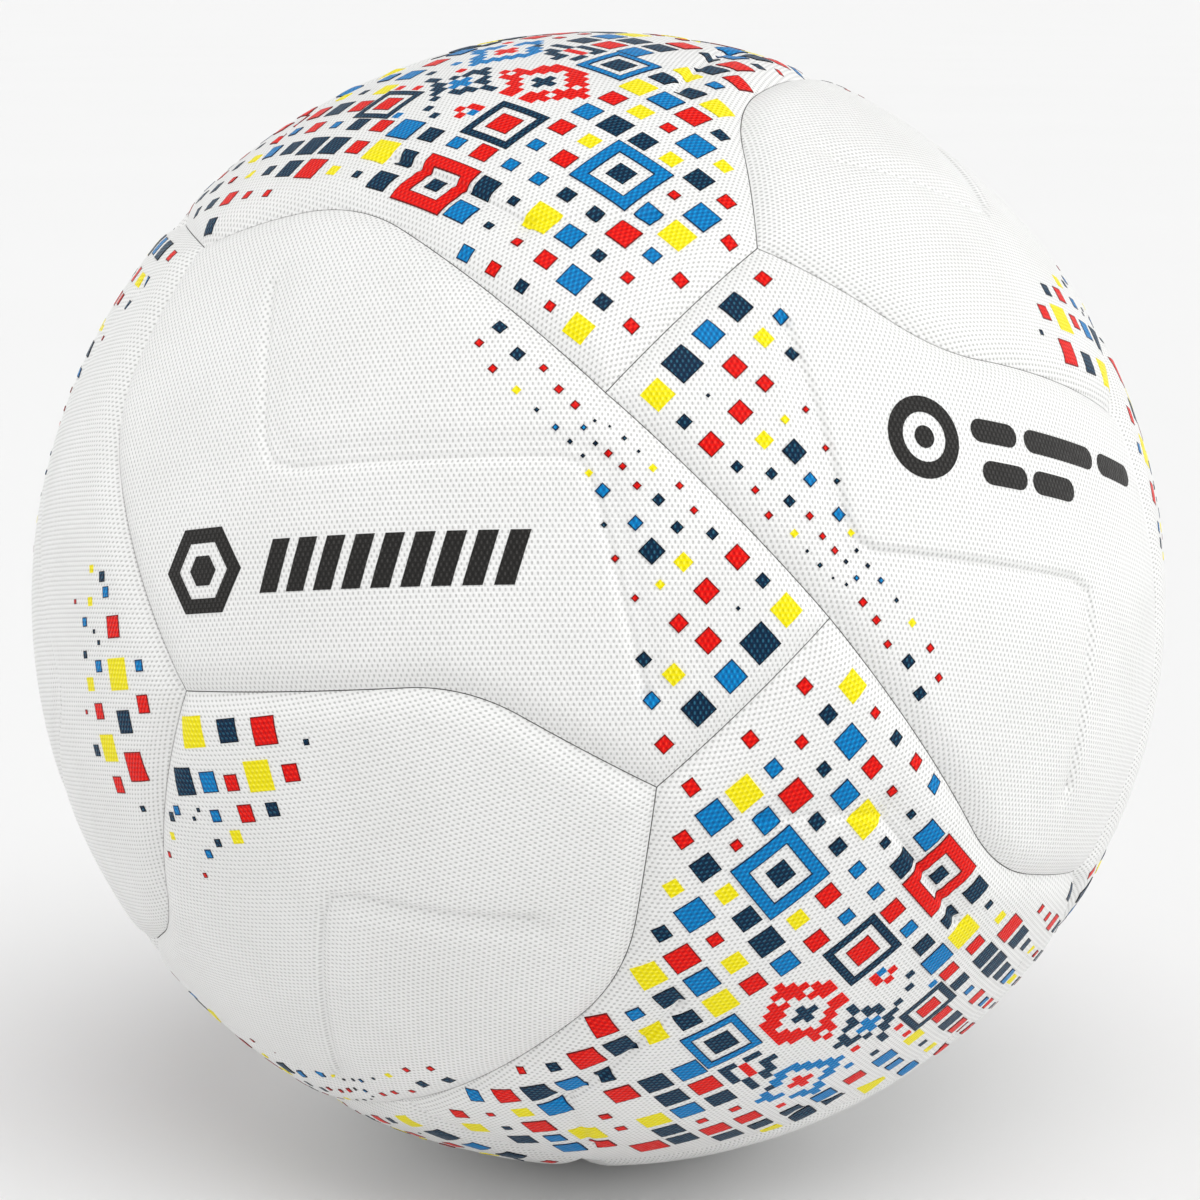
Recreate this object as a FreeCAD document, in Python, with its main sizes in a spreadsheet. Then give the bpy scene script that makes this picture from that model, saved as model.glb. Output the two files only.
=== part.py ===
import FreeCAD, Part

import math
import os

import Sketcher
from FreeCAD import Placement, Rotation, Vector

# A size 5 football of sixteen bonded panels over a foam backing, a woven lining and a
# rubber bladder with a needle valve. Origin: ball centre. +Z up, +Y out along the valve.
# The panel layout repeats under the twelve rotations of a tetrahedron: twelve "wing"
# panels with five corners, and four "star" panels with three arms.

SIZES = [
    ("ball_radius", 110.0, "crown of the panels, mm"),
    ("skin_thickness", 1.4, "textured polyurethane skin"),
    ("foam_thickness", 3.2, "closed-cell foam behind each skin"),
    ("lining_thickness", 0.9, "woven lining of the carcass"),
    ("bladder_thickness", 1.0, "butyl bladder wall"),
    ("skin_gap", 0.3, "gap between the skins of two panels"),
    ("foam_gap", 0.8, "width of the bond between two foam backings"),
    ("edge_round", 1.2, "rounding of each skin's outer edge"),
    ("twin_corner_tilt", 14.01, "corner on a two-fold seam, degrees from the two-fold axis"),
    ("twin_corner_heading", 72.75, "and its heading about that axis, degrees"),
    ("cap_corner_tilt", 25.65, "other corner of an arm's end, degrees from the axis"),
    ("cap_corner_heading", 195.89, "and its heading, degrees"),
    ("long_knee_place", 0.64, "bend of the long seam, as a share of its chord"),
    ("long_knee_bulge", 7.3, "how far that bend stands off the chord, degrees"),
    ("long_knee_round", 22.0, "angular radius of that bend, degrees"),
    ("short_knee_place", 0.38, "bend of the short seam, as a share of its chord"),
    ("short_knee_bulge", 7.2, "how far that bend stands off the chord, degrees"),
    ("short_knee_round", 17.0, "angular radius of that bend, degrees"),
    ("valve_roll", -8.92, "turn of the whole layout about the valve axis, degrees"),
    ("needle_radius", 1.1, "needle bore in the valve core"),
    ("needle_depth", 11.0, "length of the needle bore"),
    ("core_radius", 2.6, "valve core"),
    ("core_barb_radius", 3.3, "ring of the core that locks it in the housing"),
    ("core_barb_top", 101.0, "upper face of that ring, from the ball centre"),
    ("core_barb_bottom", 98.0, "lower face of that ring"),
    ("housing_radius", 4.2, "neck of the valve housing"),
    ("housing_top", 109.0, "top of the neck, from the ball centre"),
    ("housing_foot_radius", 5.4, "foot of the housing inside the bladder"),
    ("housing_bottom", 92.0, "lower end of the housing"),
    ("flange_radius", 14.0, "flange of the housing, bonded inside the bladder"),
    ("flange_thickness", 1.1, "thickness of that flange"),
    ("patch_radius", 19.0, "reinforcing patch between bladder and lining"),
    ("patch_thickness", 0.4, "thickness of that patch"),
    ("skin_hole_radius", 4.5, "valve hole in the skin and the foam"),
]

WEDGE_INNER = 95.0
WEDGE_OUTER = 125.0
WALL_INNER = 85.0
WALL_OUTER = 135.0
CENTRE = Vector(0, 0, 0)
STAR_AXIS = Vector(-1, -1, 1)
FAR_CORNER_AXIS = Vector(-1, 1, 1)
VALVE_STAR_AXIS = Vector(1, -1, -1)


# ---------------------------------------------------------------- document and sheet

def make_sheet(doc):
    """Put every driving size in a spreadsheet, one row each: value, alias, remark."""
    sheet = doc.addObject("Spreadsheet::Sheet", "sizes")
    for row, (alias, value, remark) in enumerate(SIZES, start=1):
        sheet.set("A%d" % row, str(value))
        sheet.setAlias("A%d" % row, alias)
        sheet.set("B%d" % row, remark)
    doc.recompute()
    return sheet


# ---------------------------------------------------------------- directions on the ball

def unit(vector):
    """The same direction with length one."""
    result = Vector(vector)
    result.normalize()
    return result


def direction(tilt, heading):
    """Unit vector at a tilt from +Z and a heading from +X, both in degrees."""
    level = math.sin(math.radians(tilt))
    return Vector(
        level * math.cos(math.radians(heading)),
        level * math.sin(math.radians(heading)),
        math.cos(math.radians(tilt)),
    )


def knee(start, end, share, bulge):
    """Point beside the chord start-end: at a share along it, bulge degrees to its right."""
    side = unit(start.cross(end))
    along = share * math.acos(start.dot(end))
    on_chord = start * math.cos(along) + side.cross(start) * math.sin(along)
    return on_chord * math.cos(math.radians(bulge)) - side * math.sin(math.radians(bulge))


def layout_rotations():
    """The twelve rotations of the tetrahedron, three-fold turns first."""
    third = [Rotation(Vector(1, 1, 1), 120 * turn) for turn in range(3)]
    return [half.multiply(turn) for half in half_turns() for turn in third]


def half_turns():
    """No turn, and the half turn about each two-fold axis."""
    axes = [Vector(0, 0, 1), Vector(1, 0, 0), Vector(0, 1, 0)]
    return [Rotation()] + [Rotation(axis, 180) for axis in axes]


def layout_pose(sheet):
    """Turn of the whole layout that brings the valve panel's centre to +Y."""
    to_valve = Rotation(VALVE_STAR_AXIS, Vector(0, 1, 0))
    return Rotation(Vector(0, 1, 0), sheet.valve_roll).multiply(to_valve)


# ---------------------------------------------------------------- panel outlines

def corner_points(sheet):
    """Corners and knees that the two kinds of panel share, by name."""
    twin = direction(sheet.twin_corner_tilt, sheet.twin_corner_heading)
    cap = direction(sheet.cap_corner_tilt, sheet.cap_corner_heading)
    far = unit(FAR_CORNER_AXIS)
    back_turn = Rotation(FAR_CORNER_AXIS, 120)
    tip = back_turn.multVec(cap)
    short_knee = knee(cap, far, sheet.short_knee_place, sheet.short_knee_bulge)
    return {
        "twin": twin,
        "twin_mate": Vector(-twin.x, -twin.y, twin.z),
        "cap": cap,
        "far": far,
        "tip": tip,
        "long_knee": knee(twin, tip, sheet.long_knee_place, sheet.long_knee_bulge),
        "short_knee": short_knee,
        "tip_knee": back_turn.multVec(short_knee),
    }


def wing_outline(sheet):
    """Wing panel, counter-clockwise from outside: (corner, angular radius) pairs."""
    point = corner_points(sheet)
    return [
        (point["twin"], 0),
        (point["long_knee"], sheet.long_knee_round),
        (point["tip"], 0),
        (point["tip_knee"], sheet.short_knee_round),
        (point["far"], 0),
        (point["short_knee"], sheet.short_knee_round),
        (point["cap"], 0),
        (point["twin_mate"], 0),
    ]


def star_outline(sheet):
    """Star panel: three arms about STAR_AXIS, each a long knee and a straight end."""
    point = corner_points(sheet)
    half_turn = Rotation(Vector(0, 0, 1), 180)
    arm = [
        (half_turn.multVec(point["tip"]), 0),
        (half_turn.multVec(point["long_knee"]), sheet.long_knee_round),
        (point["twin_mate"], 0),
    ]
    corners = []
    for turn in range(3):
        about = Rotation(STAR_AXIS, 120 * turn)
        corners += [(about.multVec(corner), radius) for corner, radius in arm]
    return corners[::-1] if outline_sign(corners) < 0 else corners


def outline_sign(corners):
    """Positive when the corners run counter-clockwise seen from outside the ball."""
    middle = Vector(0, 0, 0)
    area = Vector(0, 0, 0)
    for (first, _), (second, _) in zip(corners, corners[1:] + corners[:1]):
        middle = middle + first
        area = area + first.cross(second)
    return area.dot(middle)


# ---------------------------------------------------------------- wedges of the outlines

def inward_sides(corners):
    """For each leg of the outline, the unit normal that points into the panel."""
    points = [corner for corner, _ in corners]
    return [unit(a.cross(b)) for a, b in zip(points, points[1:] + points[:1])]


def bend_axis(corner, radius, before, after):
    """Axis of the round wall that touches both legs at a knee."""
    sense = 1 if before.cross(after).dot(corner) > 0 else -1
    share = sense * math.sin(math.radians(radius)) / (1 + before.dot(after))
    rise = math.sqrt(1 - 2 * share * share * (1 + before.dot(after)))
    across = unit(before.cross(after)) * sense
    return (before + after) * share + across * rise


def bend_wall(shift, axis, start, end):
    """Conical wall swept by the radial line at start about the axis, round to end."""
    line = Part.LineSegment(shift + start * WALL_INNER, shift + start * WALL_OUTER)
    from_axis = start - axis * start.dot(axis)
    to_axis = end - axis * end.dot(axis)
    turn = math.atan2(axis.dot(from_axis.cross(to_axis)), from_axis.dot(to_axis))
    return line.toShape().revolve(shift, axis, math.degrees(turn))


def leg_wall(first, second):
    """Flat wall between two radial lines, each given as (shift, direction)."""
    (shift_a, way_a), (shift_b, way_b) = first, second
    ring = [
        shift_a + way_a * WALL_INNER,
        shift_a + way_a * WALL_OUTER,
        shift_b + way_b * WALL_OUTER,
        shift_b + way_b * WALL_INNER,
    ]
    return Part.Face(Part.makePolygon(ring + ring[:1]))


def outline_walls(corners, inset):
    """Walls on the outline, each moved inset mm into the panel, as one sewn shell."""
    sides = inward_sides(corners)
    walls = []
    ends = []
    for index, (corner, radius) in enumerate(corners):
        before, after = sides[index - 1], sides[index]
        shift = (before + after) * (inset / (1 + before.dot(after)))
        if radius == 0:
            ends.append(((shift, corner), (shift, corner)))
            continue
        axis = bend_axis(corner, radius, before, after)
        start = unit(axis - before * axis.dot(before))
        end = unit(axis - after * axis.dot(after))
        ends.append(((shift, start), (shift, end)))
        walls.append(bend_wall(shift, axis, start, end))
    for leaving, reaching in zip(ends, ends[1:] + ends[:1]):
        walls.append(leg_wall(leaving[1], reaching[0]))
    sewn = Part.Compound(walls)
    sewn.sewShape()
    return sewn


def seam_side(sheet):
    """Placement that keeps a sphere's own edge and poles away from both master panels."""
    wing_centre = unit(sum_of(wing_outline(sheet)))
    star_centre = unit(STAR_AXIS)
    pole = unit(wing_centre.cross(star_centre))
    edge = unit(wing_centre + star_centre) * -1
    return Placement(CENTRE, Rotation(edge, pole.cross(edge), pole, "XYZ"))


def sum_of(corners):
    """Sum of an outline's corner directions."""
    total = Vector(0, 0, 0)
    for corner, _ in corners:
        total = total + corner
    return total


def outline_wedge(sheet, corners, inset):
    """The part of a thick spherical shell that lies inside an outline."""
    outer = Part.makeSphere(WEDGE_OUTER)
    inner = Part.makeSphere(WEDGE_INNER)
    shell = outer.cut(inner)
    shell.Placement = seam_side(sheet)
    pieces = shell.generalFuse([outline_walls(corners, inset)])[0].Solids
    return min(pieces, key=lambda piece: piece.Volume)


def add_wedge(doc, sheet, name, corners, inset):
    """Wedge as a document object; its outline is worked out from the sheet."""
    wedge = doc.addObject("Part::Feature", name)
    wedge.Shape = outline_wedge(sheet, corners, inset)
    return wedge


# ---------------------------------------------------------------- spherical layers

def add_sphere(doc, name, radius, placement):
    """Sphere about the ball centre with its radius bound to an expression."""
    sphere = doc.addObject("Part::Sphere", name)
    sphere.setExpression("Radius", radius)
    sphere.Placement = placement
    return sphere


def add_layer(doc, name, outer, inner, placement):
    """Hollow sphere between two radii, both given as expressions."""
    layer = doc.addObject("Part::Cut", name)
    layer.Base = add_sphere(doc, name + "_outside", outer, placement)
    layer.Tool = add_sphere(doc, name + "_inside", inner, placement)
    return layer


SKIN_OUT = "sizes.ball_radius"
SKIN_IN = "sizes.ball_radius - sizes.skin_thickness"
FOAM_IN = SKIN_IN + " - sizes.foam_thickness"
LINING_IN = FOAM_IN + " - sizes.lining_thickness"
BLADDER_IN = LINING_IN + " - sizes.bladder_thickness"
FLANGE_IN = BLADDER_IN + " - sizes.flange_thickness"


# ---------------------------------------------------------------- panels

def crown_edges(shape, radius):
    """Numbers of the edges that lie on the outer sphere."""
    found = []
    for number, edge in enumerate(shape.Edges, start=1):
        middle = edge.valueAt((edge.FirstParameter + edge.LastParameter) / 2)
        places = [middle] + [vertex.Point for vertex in edge.Vertexes]
        if all(abs(place.Length - radius) < 0.01 for place in places):
            found.append(number)
    return found


def add_skins(doc, sheet, pose, kind, wedge, layer, turns):
    """One skin per turn: the layer inside the wedge, with its outer edge rounded."""
    blank = doc.addObject("Part::Common", kind + "_skin_blank")
    blank.Base = layer
    blank.Tool = wedge
    doc.recompute()
    edges = crown_edges(blank.Shape, sheet.ball_radius)
    skins = []
    for number, turn in enumerate(turns, start=1):
        skin = doc.addObject("Part::Fillet", "%s_skin_%02d" % (kind, number))
        skin.Base = blank
        skin.Edges = [(edge, sheet.edge_round, sheet.edge_round) for edge in edges]
        skin.Placement = Placement(CENTRE, pose.multiply(turn))
        skins.append(skin)
    return skins


def add_foams(doc, pose, kind, wedge, layer, turns):
    """One foam backing per turn: the foam layer inside the narrower wedge."""
    foams = []
    for number, turn in enumerate(turns, start=1):
        foam = doc.addObject("Part::Common", "%s_foam_%02d" % (kind, number))
        foam.Base = layer
        foam.Tool = wedge
        foam.Placement = Placement(CENTRE, pose.multiply(turn))
        foams.append(foam)
    return foams


def add_valve_hole(doc, piece, name):
    """The valve panel's piece with a round hole along +Y."""
    drill = doc.addObject("Part::Cylinder", name + "_drill")
    drill.setExpression("Radius", "sizes.skin_hole_radius")
    drill.setExpression("Height", "sizes.ball_radius")
    drill.Placement = Placement(CENTRE, Rotation(Vector(0, 0, 1), Vector(0, 1, 0)))
    holed = doc.addObject("Part::Cut", name)
    holed.Base = piece
    holed.Tool = drill
    return holed


def add_seam_bond(doc, pose, wedges, layer):
    """Bead of adhesive that fills the gaps between the foam backings."""
    cutters = doc.addObject("Part::Feature", "foam_wedges")
    copies = []
    for wedge, turns in wedges:
        for turn in turns:
            copy = wedge.Shape.copy()
            copy.Placement = Placement(CENTRE, pose.multiply(turn))
            copies.append(copy)
    cutters.Shape = Part.Compound(copies)
    bond = doc.addObject("Part::Cut", "seam_bond")
    bond.Base = layer
    bond.Tool = cutters
    return bond


# ---------------------------------------------------------------- turned pieces about +Y

class Profile:
    """Closed half-profile in a body's XY plane, turned about its Y axis."""

    ORIGIN = (-1, 1)
    AXIS = -2

    def __init__(self, doc, sheet, name):
        self.sheet = sheet
        self.body = doc.addObject("PartDesign::Body", name)
        plane = [f for f in self.body.Origin.OriginFeatures if f.Role == "XY_Plane"][0]
        self.sketch = self.body.newObject("Sketcher::SketchObject", name + "_profile")
        self.sketch.AttachmentSupport = [(plane, "")]
        self.sketch.MapMode = "FlatFace"
        self.chain = []

    def line(self, start, end):
        """Straight side from start to end."""
        shape = Part.LineSegment(Vector(start[0], start[1], 0), Vector(end[0], end[1], 0))
        self.chain.append((self.sketch.addGeometry(shape), 1, 2))

    def arc(self, start, end, bound):
        """Arc about the ball centre; bound is the expression for its radius."""
        radius = math.hypot(start[0], start[1])
        low, high = sorted([math.atan2(start[1], start[0]), math.atan2(end[1], end[0])])
        backwards = math.atan2(start[1], start[0]) > math.atan2(end[1], end[0])
        circle = Part.Circle(CENTRE, Vector(0, 0, 1), radius)
        index = self.sketch.addGeometry(Part.ArcOfCircle(circle, low, high))
        self.chain.append((index, 2, 1) if backwards else (index, 1, 2))
        self.sketch.addConstraint(Sketcher.Constraint("Coincident", index, 3, *self.ORIGIN))
        self.bind(Sketcher.Constraint("Radius", index, radius), bound)

    def bind(self, constraint, expression):
        """Add a dimension and tie it to an expression of the sheet."""
        number = self.sketch.addConstraint(constraint)
        self.sketch.renameConstraint(number, "size_%d" % number)
        self.sketch.setExpression("Constraints.size_%d" % number, expression)

    def across(self, side, value, expression):
        """Distance of a side's first end from the Y axis."""
        index, first, _ = self.chain[side]
        self.bind(Sketcher.Constraint("DistanceX", *self.ORIGIN, index, first, value), expression)

    def up(self, side, value, expression):
        """Height of a side's first end above the ball centre."""
        index, first, _ = self.chain[side]
        self.bind(Sketcher.Constraint("DistanceY", *self.ORIGIN, index, first, value), expression)

    def on_axis(self, side):
        """Keep a side's first end on the Y axis."""
        index, first, _ = self.chain[side]
        self.sketch.addConstraint(Sketcher.Constraint("PointOnObject", index, first, self.AXIS))

    def upright(self, side):
        """Keep a straight side parallel to the Y axis."""
        self.sketch.addConstraint(Sketcher.Constraint("Vertical", self.chain[side][0]))

    def level(self, side):
        """Keep a straight side square to the Y axis."""
        self.sketch.addConstraint(Sketcher.Constraint("Horizontal", self.chain[side][0]))

    def close(self):
        """Join the end of each side to the start of the next."""
        for here, after in zip(self.chain, self.chain[1:] + self.chain[:1]):
            joint = Sketcher.Constraint("Coincident", here[0], here[2], after[0], after[1])
            self.sketch.addConstraint(joint)

    def turn(self):
        """Full turn of the profile about the Y axis."""
        solid = self.body.newObject("PartDesign::Revolution", self.body.Name + "_turned")
        solid.Profile = self.sketch
        solid.ReferenceAxis = (self.sketch, ["V_Axis"])
        solid.Angle = 360.0
        self.sketch.Visibility = False
        return self.body


def on_sphere(radius, across):
    """Point of the half-profile at a radius and a distance from the Y axis."""
    return (across, math.sqrt(radius * radius - across * across))


def layer_radii(sheet):
    """Radii of the layers below the skin, from the foam's inside inwards."""
    foam_in = sheet.ball_radius - sheet.skin_thickness - sheet.foam_thickness
    lining_in = foam_in - sheet.lining_thickness
    bladder_in = lining_in - sheet.bladder_thickness
    return foam_in, lining_in, bladder_in


def make_bladder(doc, sheet):
    """Inflated rubber sphere, open where the valve housing passes through."""
    _, outer, inner = layer_radii(sheet)
    neck = sheet.housing_radius
    shape = Profile(doc, sheet, "bladder")
    shape.arc((0, -outer), on_sphere(outer, neck), LINING_IN)
    shape.line(on_sphere(outer, neck), on_sphere(inner, neck))
    shape.arc(on_sphere(inner, neck), (0, -inner), BLADDER_IN)
    shape.line((0, -inner), (0, -outer))
    shape.close()
    shape.on_axis(0)
    shape.on_axis(3)
    shape.across(1, neck, "sizes.housing_radius")
    shape.upright(1)
    return shape.turn()


def make_lining(doc, sheet):
    """Woven sphere round the bladder, let in for the patch and open at the valve."""
    outer, inner, _ = layer_radii(sheet)
    pocket = inner + sheet.patch_thickness
    neck = sheet.housing_radius
    rim = sheet.patch_radius
    shape = Profile(doc, sheet, "lining")
    shape.arc((0, -outer), on_sphere(outer, neck), FOAM_IN)
    shape.line(on_sphere(outer, neck), on_sphere(pocket, neck))
    shape.arc(on_sphere(pocket, neck), on_sphere(pocket, rim), LINING_IN + " + sizes.patch_thickness")
    shape.line(on_sphere(pocket, rim), on_sphere(inner, rim))
    shape.arc(on_sphere(inner, rim), (0, -inner), LINING_IN)
    shape.line((0, -inner), (0, -outer))
    shape.close()
    shape.on_axis(0)
    shape.on_axis(5)
    shape.across(1, neck, "sizes.housing_radius")
    shape.upright(1)
    shape.across(3, rim, "sizes.patch_radius")
    shape.upright(3)
    return shape.turn()


def make_valve_patch(doc, sheet):
    """Thin round patch that stiffens the bladder about the valve."""
    _, inner, _ = layer_radii(sheet)
    outer = inner + sheet.patch_thickness
    neck = sheet.housing_radius
    rim = sheet.patch_radius
    shape = Profile(doc, sheet, "valve_patch")
    shape.arc(on_sphere(outer, rim), on_sphere(outer, neck), LINING_IN + " + sizes.patch_thickness")
    shape.line(on_sphere(outer, neck), on_sphere(inner, neck))
    shape.arc(on_sphere(inner, neck), on_sphere(inner, rim), LINING_IN)
    shape.line(on_sphere(inner, rim), on_sphere(outer, rim))
    shape.close()
    shape.across(1, neck, "sizes.housing_radius")
    shape.upright(1)
    shape.across(3, rim, "sizes.patch_radius")
    shape.upright(3)
    return shape.turn()


def make_valve_housing(doc, sheet):
    """Rubber tube with a flange inside the bladder and a groove for the core's ring."""
    _, _, bladder_in = layer_radii(sheet)
    under = bladder_in - sheet.flange_thickness
    neck = sheet.housing_radius
    rim = sheet.flange_radius
    foot = sheet.housing_foot_radius
    core = sheet.core_radius
    ring = sheet.core_barb_radius
    top, bottom = sheet.housing_top, sheet.housing_bottom
    ring_top, ring_bottom = sheet.core_barb_top, sheet.core_barb_bottom
    shape = Profile(doc, sheet, "valve_housing")
    shape.line((core, top), (neck, top))
    shape.line((neck, top), on_sphere(bladder_in, neck))
    shape.arc(on_sphere(bladder_in, neck), on_sphere(bladder_in, rim), BLADDER_IN)
    shape.line(on_sphere(bladder_in, rim), on_sphere(under, rim))
    shape.arc(on_sphere(under, rim), on_sphere(under, foot), FLANGE_IN)
    shape.line(on_sphere(under, foot), (foot, bottom))
    shape.line((foot, bottom), (core, bottom))
    shape.line((core, bottom), (core, ring_bottom))
    shape.line((core, ring_bottom), (ring, ring_bottom))
    shape.line((ring, ring_bottom), (ring, ring_top))
    shape.line((ring, ring_top), (core, ring_top))
    shape.line((core, ring_top), (core, top))
    shape.close()
    for side in (1, 3, 5, 7, 9, 11):
        shape.upright(side)
    for side in (0, 6, 8, 10):
        shape.level(side)
    shape.up(0, top, "sizes.housing_top")
    shape.across(1, neck, "sizes.housing_radius")
    shape.across(3, rim, "sizes.flange_radius")
    shape.across(5, foot, "sizes.housing_foot_radius")
    shape.up(6, bottom, "sizes.housing_bottom")
    shape.across(7, core, "sizes.core_radius")
    shape.up(8, ring_bottom, "sizes.core_barb_bottom")
    shape.across(9, ring, "sizes.core_barb_radius")
    shape.up(10, ring_top, "sizes.core_barb_top")
    shape.across(11, core, "sizes.core_radius")
    return shape.turn()


def make_valve_core(doc, sheet):
    """Soft plug in the housing with the blind bore that takes the inflating needle."""
    core = sheet.core_radius
    ring = sheet.core_barb_radius
    needle = sheet.needle_radius
    top, bottom = sheet.housing_top, sheet.housing_bottom
    ring_top, ring_bottom = sheet.core_barb_top, sheet.core_barb_bottom
    floor = top - sheet.needle_depth
    shape = Profile(doc, sheet, "valve_core")
    shape.line((needle, top), (core, top))
    shape.line((core, top), (core, ring_top))
    shape.line((core, ring_top), (ring, ring_top))
    shape.line((ring, ring_top), (ring, ring_bottom))
    shape.line((ring, ring_bottom), (core, ring_bottom))
    shape.line((core, ring_bottom), (core, bottom))
    shape.line((core, bottom), (0, bottom))
    shape.line((0, bottom), (0, floor))
    shape.line((0, floor), (needle, floor))
    shape.line((needle, floor), (needle, top))
    shape.close()
    for side in (1, 3, 5, 7, 9):
        shape.upright(side)
    for side in (0, 2, 4, 6, 8):
        shape.level(side)
    shape.up(0, top, "sizes.housing_top")
    shape.across(1, core, "sizes.core_radius")
    shape.up(2, ring_top, "sizes.core_barb_top")
    shape.across(3, ring, "sizes.core_barb_radius")
    shape.up(4, ring_bottom, "sizes.core_barb_bottom")
    shape.across(5, core, "sizes.core_radius")
    shape.up(6, bottom, "sizes.housing_bottom")
    shape.on_axis(7)
    shape.up(8, floor, "sizes.housing_top - sizes.needle_depth")
    shape.across(9, needle, "sizes.needle_radius")
    return shape.turn()


# ---------------------------------------------------------------- the whole ball

def build(doc):
    """Make every sub-part and return them in the order they would be stripped down."""
    sheet = make_sheet(doc)
    pose = layout_pose(sheet)
    wings = layout_rotations()
    stars = half_turns()
    aside = seam_side(sheet)
    skin_layer = add_layer(doc, "skin_layer", SKIN_OUT, SKIN_IN, aside)
    foam_layer = add_layer(doc, "foam_layer", SKIN_IN, FOAM_IN, aside)

    pieces = []
    foam_wedges = []
    outlines = (("wing", wing_outline(sheet), wings), ("star", star_outline(sheet), stars))
    for kind, corners, turns in outlines:
        wide = add_wedge(doc, sheet, kind + "_wedge", corners, sheet.skin_gap / 2)
        narrow = add_wedge(doc, sheet, kind + "_foam_wedge", corners, sheet.foam_gap / 2)
        pieces += add_skins(doc, sheet, pose, kind, wide, skin_layer, turns)
        pieces += add_foams(doc, pose, kind, narrow, foam_layer, turns)
        foam_wedges.append((narrow, turns))
    pieces = drill_valve_panel(doc, pieces)
    pieces.append(add_seam_bond(doc, pose, foam_wedges, foam_layer))
    for make in (make_lining, make_bladder, make_valve_patch, make_valve_housing, make_valve_core):
        pieces.append(make(doc, sheet))
    return pieces


def drill_valve_panel(doc, pieces):
    """Swap the skin and the foam on the valve axis for drilled ones."""
    doc.recompute()
    drilled = []
    for piece in pieces:
        kind = piece.Name.rsplit("_", 1)[0]
        if kind.startswith("star") and covers_valve(piece.Shape):
            piece = add_valve_hole(doc, piece, kind + "_valve")
        drilled.append(piece)
    return drilled


def covers_valve(shape):
    """True when the shape is crossed by the +Y axis."""
    ray = Part.makeLine(CENTRE, Vector(0, WEDGE_OUTER, 0))
    return shape.distToShape(ray)[0] < 1e-6


def check(doc, pieces):
    """Stop if any object failed or any sub-part is not one valid solid."""
    for thing in doc.Objects:
        if "Invalid" in thing.State or "Error" in thing.State:
            raise RuntimeError("%s: %s" % (thing.Name, thing.State))
    for piece in pieces:
        shape = piece.Shape
        if shape.isNull() or not shape.isValid() or len(shape.Solids) != 1:
            raise RuntimeError("%s is not one valid solid" % piece.Label)


def write(pieces):
    """Write each sub-part to parts/LABEL.step."""
    os.makedirs("parts", exist_ok=True)
    for piece in pieces:
        piece.Shape.exportStep("parts/%s.step" % piece.Label)
        print("%-18s %10.1f mm3" % (piece.Label, piece.Shape.Volume))


def main():
    doc = FreeCAD.newDocument("football")
    pieces = build(doc)
    doc.recompute()
    check(doc, pieces)
    write(pieces)
    print(len(pieces), "sub-parts")


main()
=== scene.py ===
import math
import random

import bpy
import numpy as np
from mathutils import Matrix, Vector
from mathutils.geometry import delaunay_2d_cdt


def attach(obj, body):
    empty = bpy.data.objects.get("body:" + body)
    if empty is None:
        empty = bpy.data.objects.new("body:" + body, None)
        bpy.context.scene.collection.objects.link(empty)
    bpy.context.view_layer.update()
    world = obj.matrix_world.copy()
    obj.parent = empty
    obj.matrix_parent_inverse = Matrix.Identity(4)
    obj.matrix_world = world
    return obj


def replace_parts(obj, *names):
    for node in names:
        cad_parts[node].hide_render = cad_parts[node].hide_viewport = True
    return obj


# A size 5 football of sixteen bonded panels, printed with coloured tiles. The panel layout
# is worked out as in the CAD part, in millimetres about the ball's centre, in the layout's
# own axes. POSE then turns it into the row frame, where +Y runs out along the valve.

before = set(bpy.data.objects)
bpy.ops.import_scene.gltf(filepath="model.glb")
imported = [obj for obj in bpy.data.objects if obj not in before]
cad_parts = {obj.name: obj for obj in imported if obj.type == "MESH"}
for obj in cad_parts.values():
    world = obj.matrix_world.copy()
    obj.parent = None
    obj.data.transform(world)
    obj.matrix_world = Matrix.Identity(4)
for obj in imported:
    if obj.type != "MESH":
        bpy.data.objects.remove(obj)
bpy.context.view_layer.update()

MM = 0.001
BALL = 110.0  # radius at the crown of the panels
SKIN_THICKNESS = 1.4
FOAM_BACK = 105.4  # inner face of the foam, where the lining begins
FOAM_GAP = 0.4  # from the seam's centre line to the edge of each foam backing
EDGE_GAP = 0.1  # from the seam's centre line to the edge of each skin
GROOVE_DEPTH = 1.95  # how far a panel falls away at a seam
GROOVE_REACH = 6.4  # where the fall begins
GROOVE_SHAPE = 2.25  # steepness of the fall
GROOVE_LIMIT = 2.0  # the deepest that a corner falls
CORNER_BLEND = 3.0  # how the falls from two sides join at a corner
CREASE_DEPTH = 1.3
SHARP_CREASE = 0.75  # half width of a crease's line
SOFT_CREASE = 2.4  # half width of the hollow beside it
CREASE_FLOOR = 1.35  # the deepest that a crease and its pinched ends go
PINCH_DEPTH = 0.3  # dimple at each end of a crease
PINCH_WIDTH = 1.1
HOLE = 4.5  # valve hole in the skin
LIP_FALL = 0.7  # how far the skin rolls down at the valve hole
LIP_REACH = 2.6
LINE_STEP = 1.3  # spacing of the points along a seam
RINGS = (0.4, 0.8, 1.3, 2.0, 2.9, 4.0, 5.2, 6.6)  # rows of points beside a seam
SLACK = 0.03  # how much nearer to a seam than its row a point may lie
GRID = 2.4  # spacing of the points over a skin
FINE_GRID = 0.55  # and beside its creases
CREASE_ZONE = 4.0  # how far from a crease that is
BACK_RINGS = (1.3, 2.9, 5.2)  # rows and spacing on a hidden face
BACK_GRID = 7.0
PANEL_REACH = 100.0  # half the box that holds a whole panel
HOLE_POINTS = 48
FOAM_CLEAR = 0.02  # between skin and foam
BOND_RECESS = 0.05  # from the skins' edges down to the adhesive
TILE_STEP = 1.5
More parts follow.
